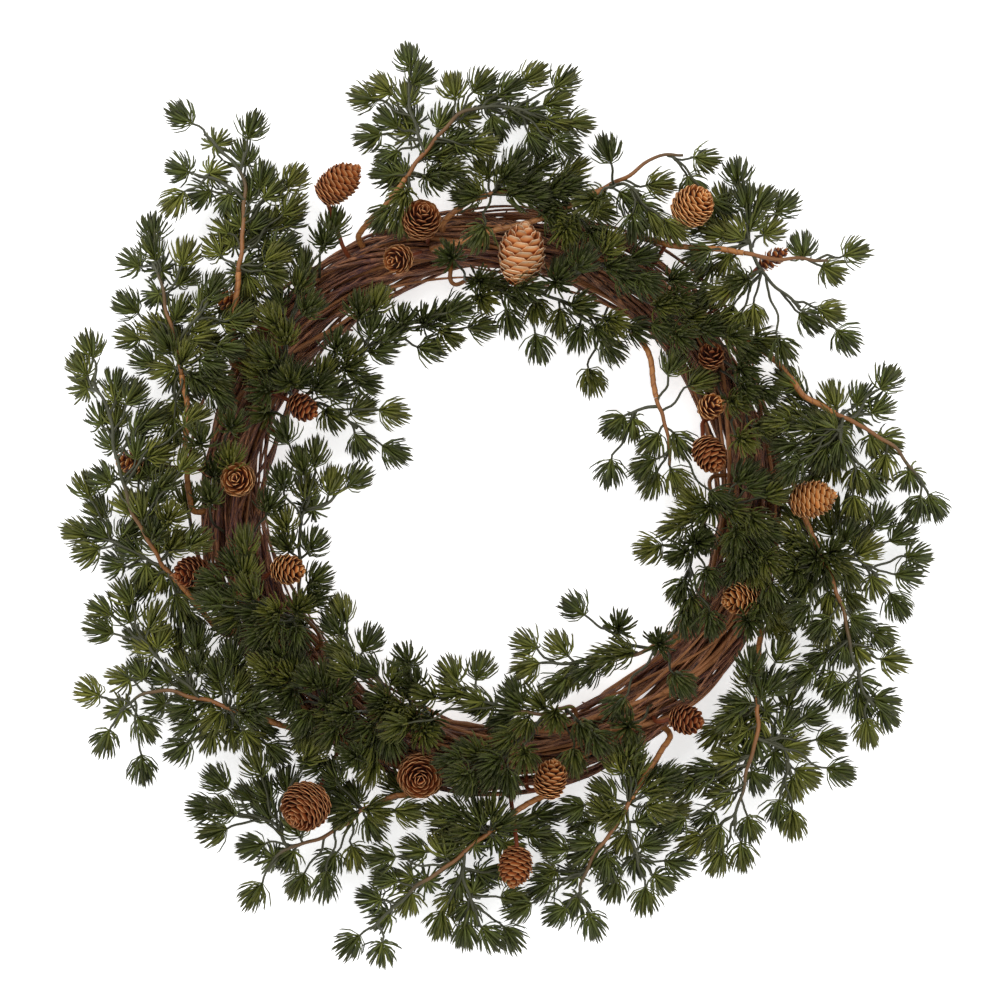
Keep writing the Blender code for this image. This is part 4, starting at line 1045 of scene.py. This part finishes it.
def grow_tufts(ledger, name, curves, tufts):
    """The twig of each tuft that has room, at the clearest of its random tries."""
    twigs = []
    for clock, radius in tufts:
        chance = random.Random(round(100 * clock + radius))
        best = (0.0, None, None)
        for attempt in range(TRIES):
            found = try_tuft(ledger, name, curves, clock, radius, attempt, chance)
            if found and found[0] > best[0]:
                best = found
            if best[0] > GOOD_SCORE:
                break
        score, twig, needles = best
        if score < LOWEST_SCORE:
            continue
        ledger.add(name, twig, TWIG_RADIUS)
        for needle in needles:
            ledger.add(name, needle, NEEDLE_RADIUS)
        twigs.append(twig)
    return twigs


NEEDLES = 53
NEEDLE_ROOTS = (1.5, 7.6)
ROOT_RADIUS = 0.6
NEEDLE_LEAN = (5.0, 80.0)
LEAN_JITTER = 9.0
TURN_JITTER = 0.3
SIDEWAYS_CROWD = 0.60
TIP_CROWD = 1.3
FINE_LENGTH = (13.9, 17.8)
SKIRT_GROWTH = 0.12
NEEDLE_CURL = 0.84
CURL_SPREAD = (0.7, 1.2)
# The stretches of a needle: the share of its length that each takes, and how far through the
# needle's curl it is.
NEEDLE_BENDS = ((0.42, 0.20), (0.40, 0.62), (0.18, 0.92))
NEEDLE_WIDTHS = (0.55, 0.90, 0.84)
NEEDLE_FLATNESS = 0.6
FINE_SIDES = 3
NEEDLE_POINTS = 3 * FINE_SIDES + 1
NEEDLE_RUN = np.repeat((0.0, 0.4, 0.78, 1.0), (FINE_SIDES, FINE_SIDES, FINE_SIDES, 1))
NEEDLE_FACES = [(2, 1, 0)]
for ring in (0, FINE_SIDES):
    for k in range(FINE_SIDES):
        a, b = ring + k, ring + (k + 1) % FINE_SIDES
        NEEDLE_FACES.append((a, b, b + FINE_SIDES, a + FINE_SIDES))
last = 2 * FINE_SIDES
NEEDLE_FACES += [(last + k, last + (k + 1) % FINE_SIDES, NEEDLE_POINTS - 1) for k in range(FINE_SIDES)]
BRUSH_TONE = 0.65


def needle_brush(end, way, draw):
    """A brush of needles round the end of a twig: the points of each needle, ring by ring."""
    side, up = cross_pair(way)
    rank = (np.arange(NEEDLES) + draw.uniform(0, 1, NEEDLES)) / NEEDLES
    turn = np.arange(NEEDLES) * GOLDEN_TURN + draw.uniform(-TURN_JITTER, TURN_JITTER, NEEDLES)
    forward, sideways = NEEDLE_LEAN
    lean = forward + (sideways - forward) * rank ** SIDEWAYS_CROWD
    lean = np.radians(lean + draw.uniform(-LEAN_JITTER, LEAN_JITTER, NEEDLES))
    across = around(side, up, turn)
    ahead, behind = NEEDLE_ROOTS
    place = end + (ahead - behind * rank ** TIP_CROWD)[:, None] * way + ROOT_RADIUS * across
    length = draw.uniform(*FINE_LENGTH, NEEDLES) * (1.0 + SKIRT_GROWTH * rank)
    curl = NEEDLE_CURL * draw.uniform(*CURL_SPREAD, NEEDLES)
    rings = [place]
    for share, bend in NEEDLE_BENDS:
        place = place + (share * length)[:, None] * around(way, across, lean * (1.0 - bend * curl))
        rings.append(place)
    rings = np.stack(rings, axis=1)
    flat = around(up, -side, turn)
    thick = np.cross(rings[:, -1] - rings[:, 0], flat)
    thick = NEEDLE_FLATNESS * thick / np.linalg.norm(thick, axis=1)[:, None]
    turns = math.tau * np.arange(FINE_SIDES) / FINE_SIDES
    section = around(flat[:, None], thick[:, None], turns)
    points = rings[:, :3, None] + np.reshape(NEEDLE_WIDTHS, (3, 1, 1)) * section[:, None]
    return np.concatenate((points.reshape(NEEDLES, -1, 3), rings[:, 3:4]), axis=1)


def add_brush(shape, end, way, seed):
    """Add a brush of needles, toned partly brush by brush and partly needle by needle."""
    draw = np.random.default_rng(seed)
    points = needle_brush(end, way, draw)
    faces = [tuple(i + NEEDLE_POINTS * n for i in face) for n in range(NEEDLES) for face in NEEDLE_FACES]
    tone = BRUSH_TONE * draw.uniform(0, 1) + (1.0 - BRUSH_TONE) * draw.uniform(0, 1, NEEDLES)
    own = draw.uniform(0, 1, NEEDLES)
    shape.add(points, faces, np.tile(NEEDLE_RUN, NEEDLES), *np.repeat((tone, own), NEEDLE_POINTS, axis=1))


def bent_twig(twig):
    """A twig drawn out finely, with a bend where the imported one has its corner."""
    root, end = twig[0], twig[-1]
    reach = np.linalg.norm(end - root)
    first = root + TWIG_BEND * reach * unit(twig[1] - root)
    last = end - TWIG_BEND * reach * unit(end - twig[-2])
    t = np.linspace(0.0, 1.0, max(4, round(reach / TWIG_STEP)))[:, None]
    return (1 - t) ** 3 * root + 3 * (1 - t) ** 2 * t * first + 3 * (1 - t) * t ** 2 * last + t ** 3 * end


sprays = []
for name, entry in {**WOODY_SPRAYS, **LEAFY_SPRAYS}.items():
    start = socket(*entry["butt"])
    if name in stems:
        run = unit(stems[name][-1] - stems[name][-2])
        leaf = stems[name][-1] + FACE_GAP * run
        start = [leaf, leaf + FIRST_RUN * run]
    branches = grow_branches(ledger, name, start, entry["branches"])
    sprays.append(dict(name=name, branches=branches, tufts=entry["tufts"]))
for spray in sprays:
    spray["twigs"] = grow_tufts(ledger, spray["name"], spray["branches"], spray["tufts"])

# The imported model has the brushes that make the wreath's outline. Twice as many stand between
# them: on twigs from the nearest branch, or from between the canes where no branch is near. They
# are thickest just outside the ring, and thin where the canes show.
FILL_SEED = 5
BRUSH_GAP = 12.0
FILL_TRIES = 16000
FILL_SPAN = 120.0
FILL_WANDER = 6.0
FILL_HEIGHT = 10.0
FILL_INSET = (5.0, 5.0, 0.0)
FILL_SLIDE = 0.5
LONGEST_TWIG = 50.0
LONGEST_RING_TWIG = 65.0
RING_ROOT_TURN = 9.0
RING_ROOT_DEPTH = -5.0
LOWEST_RING_ROOT = 15.0
RING_TWIG_SAG = 4.0
ALL_ROUND = ((0, 360),)
HIDDEN_CANES = ((48, 80), (149, 159), (337, 350))
# From and to which radius, how many brushes, how close they may look, how far from the wreath's
# dome they stand, and where round the ring. The last band is low down, under the others.
FILL_BANDS = ((166.0, 200.0, 22, 10.0, -6.0, HIDDEN_CANES), (198.0, 240.0, 172, 10.5, -4.0, ALL_ROUND),
              (150.0, 198.0, 86, 10.5, -4.0, ALL_ROUND), (240.0, 268.0, 92, 12.5, -4.0, ALL_ROUND),
              (268.0, 300.0, 46, 15.5, -4.0, ALL_ROUND), (126.0, 150.0, 36, 12.5, -4.0, ALL_ROUND),
              (100.0, 126.0, 4, 16.0, -4.0, ALL_ROUND), (202.0, 226.0, 30, 10.0, -34.0, ALL_ROUND))
THIN_SHARE = 0.25
BARE_CANES = ((303, 330), (352, 370), (18, 41), (86, 94), (122, 147), (160, 171), (187, 195), (254, 274))
BARE_BAND = (150.0, 204.0)
OPEN_OUTSIDE = ((16, 31), (46, 72), (327, 340))
OPEN_FROM = 222.0
OPEN_INSIDE = ((42, 58), (117, 136))
CONE_ROOM = 3.0
STEM_ROOM = 9.0
UNDER_BRUSH = 38.0
LOWEST_BRUSH = 16.0
HIGHEST_BRUSH = 90.0


def within(clock, spans):
    """Whether a clock angle is in any of the spans."""
    return any(a <= clock <= b or a <= clock + 360 <= b for a, b in spans)


def left_open(clock, radius):
    """Whether a place is in one of the gaps that the foliage leaves outside and inside the ring."""
    if radius > OPEN_FROM:
        return within(clock, OPEN_OUTSIDE)
    return radius < BARE_BAND[0] and within(clock, OPEN_INSIDE)


def fill_twig(sprays, middle, clock, radius, draw):
    """The spray that a brush belongs to and its twig, or None where no twig would reach it."""
    roots = [best_root(spray["branches"], middle, FILL_SLIDE) for spray in sprays]
    nearest = int(np.argmin([reach for root, run, reach in roots]))
    if roots[nearest][2] < LONGEST_TWIG:
        leave = draw.uniform(*TWIG_LEAVE)
        return nearest, twig_curve(sprays[nearest]["branches"], middle, leave, FILL_SLIDE)
    section = math.degrees(math.atan2(middle[2] - RING_MIDDLE, radius - RING_RADIUS))
    root = ring_surface(clock - RING_ROOT_TURN, section, RING_ROOT_DEPTH)
    mouth = ring_surface(clock - RING_ROOT_TURN, section, MOUTH_HEIGHT)
    if section < LOWEST_RING_ROOT or np.linalg.norm(middle - root) > LONGEST_RING_TWIG:
        return nearest, None
    end = middle - TUFT_SETBACK * unit(middle - mouth)
    return nearest, np.array((root, 0.5 * mouth + 0.5 * middle - RING_TWIG_SAG, end))


def fill_brushes(sprays, cones):
    """Twigs for more brushes, spray by spray, where there is room between those placed already."""
    draw = random.Random(FILL_SEED)
    placed = first = np.array([twig[-1] + TUFT_SETBACK * unit(twig[-1] - twig[-2])
                               for spray in sprays for twig in spray["twigs"]])
    low_corner, high_corner = first.min(axis=0) + FILL_INSET, first.max(axis=0) - FILL_INSET
    wood = np.concatenate([curve[2:] for curve in stems.values()])
    more = [[] for _ in sprays]
    for low, high, wanted, apart, lift, where in FILL_BANDS:
        for _ in range(FILL_TRIES):
            if not wanted:
                break
            one = first[draw.randrange(len(first))]
            near = first[np.linalg.norm((first - one)[:, :2], axis=1) < FILL_SPAN]
            other = near[draw.randrange(len(near))]
            middle = one + draw.random() * (other - one)
            middle = middle + [draw.gauss(0, FILL_WANDER), draw.gauss(0, FILL_WANDER), 0]
            radius, clock = math.hypot(middle[0], middle[1]), clock_of(middle) % 360
            middle[2] = dome(radius) + draw.gauss(lift, FILL_HEIGHT)
            if not low < radius < high or not within(clock, where):
                continue
            if not LOWEST_BRUSH < middle[2] < HIGHEST_BRUSH:
                continue
            if (middle < low_corner).any() or (middle > high_corner).any():
                continue
            bare = BARE_BAND[0] < radius < BARE_BAND[1] and within(clock, BARE_CANES)
            if bare and draw.random() > THIN_SHARE:
                continue
            apart_in_view = np.linalg.norm((placed - middle)[:, :2], axis=1).min()
            apart_in_all = np.linalg.norm(placed - middle, axis=1).min()
            if left_open(clock, radius) or apart_in_all < BRUSH_GAP or apart_in_view < apart:
                continue
            if middle[2] > UNDER_BRUSH:
                if any(np.linalg.norm((cone["place"] - middle)[:2]) < 0.5 * cone["length"] + CONE_ROOM
                       for cone in cones):
                    continue
                by_stem = np.linalg.norm((wood - middle)[:, :2], axis=1).min() < STEM_ROOM
                if by_stem and draw.random() > THIN_SHARE:
                    continue
            owner, twig = fill_twig(sprays, middle, clock, radius, draw)
            if twig is None or not clear_of_ring(rods_of(twig)[-1:], TWIG_RADIUS).all():
                continue
            more[owner].append(twig)
            placed = np.concatenate((placed, [middle]))
            wanted -= 1
    return more


more = fill_brushes(sprays, cones)

# Moulded polyethylene needles: satin, dark green drifting to olive from brush to brush and from
# needle to needle, yellow green near the twig and brown at the tips.
needle_plastic, tree, shader = start_material("moulded needle polyethylene")
run, brush, own, place = surface_values(tree)
base = add_node(tree, "Mix", {0: own, 6: "#2b3214", 7: "#4e5723"}, data_type="RGBA")
olive = add_node(tree, "MapRange", {0: brush, 1: 0.45, 2: 0.95})
mixed = add_node(tree, "Mix", {0: olive, 6: base, 7: "#717127"}, data_type="RGBA")
rooted = add_node(tree, "MapRange", {0: run, 1: 0.5, 2: 0.0, 4: 0.5})
bright = add_node(tree, "Mix", {0: rooted, 6: mixed, 7: "#848b3e"}, data_type="RGBA")
ends = add_node(tree, "MapRange", {0: run, 1: 0.55, 2: 1.0, 4: 0.6})
final = add_node(tree, "Mix", {0: ends, 6: bright, 7: "#3a3122"}, data_type="RGBA")
mould = add_node(tree, "TexNoise", {"Vector": place, "Scale": 1.0 / (NEEDLE_MOULD * MM), "Detail": 2.0})
finish_surface(tree, shader, final, mould, 0.3, 0.2, 0.66, 0.50)
fill_inputs(tree, shader, {"Specular IOR Level": 0.3})

# The same plastic on the twigs: grey green, but for the main branches, which start brown and turn
# green over their first few centimetres.
twig_plastic, tree, shader = start_material("moulded twig polyethylene")
run, turn, own, place = surface_values(tree)
mottle = add_node(tree, "TexNoise", {"Vector": place, "Scale": 1.0 / (TWIG_MOTTLE * MM), "Detail": 4.0})
grey = add_node(tree, "Mix", {0: mottle, 6: "#23250f", 7: "#43432a"}, data_type="RGBA")
brown = add_node(tree, "Mix", {0: mottle, 6: "#5e3414", 7: "#9a642f"}, data_type="RGBA")
from_stem = add_node(tree, "MapRange", {0: run, 1: STEM_COLOUR_RUN[0], 2: STEM_COLOUR_RUN[1], 3: 1.0, 4: 0.0})
share = add_node(tree, "Math", {0: from_stem, 1: own}, operation="MULTIPLY")
colour = add_node(tree, "Mix", {0: share, 6: grey, 7: brown}, data_type="RGBA")
finish_surface(tree, shader, colour, mottle, 0.3, 0.3, 0.62, 0.45)

for spray, added in zip(sprays, more):
    name = spray["name"]
    twigs, needles = Shape(), Shape()
    for number, branch in enumerate(spray["branches"]):
        fine = lively(branch, BRANCH_STEP, BRANCH_SWAY, name + str(number))
        first = SIDE_BRANCH_RADIUS if number else BRANCH_RADIUS
        radii = BARE_WOOD * np.linspace(first, BRANCH_TIP_RADIUS, len(fine))
        twigs.tube(fine, radii, BRANCH_SIDES, 0.0 if number else 1.0)
    for twig in spray["twigs"] + added:
        seed = round(10 * abs(twig[-1].sum()))
        curve = lively(bent_twig(twig), TWIG_STEP, TWIG_SWAY, name + str(seed))
        way = unit(curve[-1] - curve[-2])
        radii = BARE_WOOD * np.linspace(TWIG_RADIUS, TWIG_TIP_RADIUS, len(curve) + 1)
        twigs.tube(np.concatenate((curve, [curve[-1] + TWIG_END * way])), radii, TWIG_SIDES)
        add_brush(needles, curve[-1] + BRUSH_FOOT * way, way, seed)
    twigs.piece(name + "_twigs", twig_plastic, "needles", name)
    needles.piece(name + "_needles", needle_plastic, "needles", name)


# ======== The studio ========
# A plain pale floor under the wreath, soft light from above and a camera that looks straight down
# on the wreath's face.

HALF_FLOOR = 3.0
FLOOR_DROP = 0.0005
floor_mesh = bpy.data.meshes.new("floor")
corners = [(x * HALF_FLOOR, y * HALF_FLOOR, -FLOOR_DROP) for x, y in ((-1, -1), (1, -1), (1, 1), (-1, 1))]
floor_mesh.from_pydata(corners, [], [(0, 1, 2, 3)])
floor = put_in_scene("floor", floor_mesh)
opal_sheet, tree, shader = start_material("opal acrylic sheet lit from below")
fill_inputs(tree, shader, {"Base Color": "#f2f2f2", "Roughness": 0.8,
                           "Emission Color": "#ffffff", "Emission Strength": 0.62})
floor_mesh.materials.append(opal_sheet)

world = bpy.data.worlds.new("studio")
bpy.context.scene.world = world
world.use_nodes = True
background = world.node_tree.nodes["Background"]
fill_inputs(world.node_tree, background, {"Color": "#ffffff", "Strength": 0.9})

for name, place, size, power in (("key", (-1.1, 1.2, 2.2), 1.4, 70.0), ("fill", (1.3, -0.6, 2.0), 1.6, 32.0)):
    lamp = bpy.data.lights.new(name, "AREA")
    lamp.size = size
    lamp.energy = power
    light = put_in_scene(name, lamp)
    light.location = place
    x, y, z = place
    light.rotation_euler = (math.atan2(math.hypot(x, y), z), 0.0, math.atan2(x, -y) + math.pi)

CAMERA_HEIGHT = 3.0
CAMERA_SHIFT = (-0.0039, 0.0045)
SEEN_WIDTH = 0.68
SEEN_HEIGHT = 0.05
camera_data = bpy.data.cameras.new("camera")
camera_data.sensor_width = 36.0
camera_data.lens = camera_data.sensor_width * (CAMERA_HEIGHT - SEEN_HEIGHT) / SEEN_WIDTH
camera = put_in_scene("camera", camera_data)
camera.location = (*CAMERA_SHIFT, CAMERA_HEIGHT)
bpy.context.scene.camera = camera
bpy.context.scene.view_settings.view_transform = "Standard"
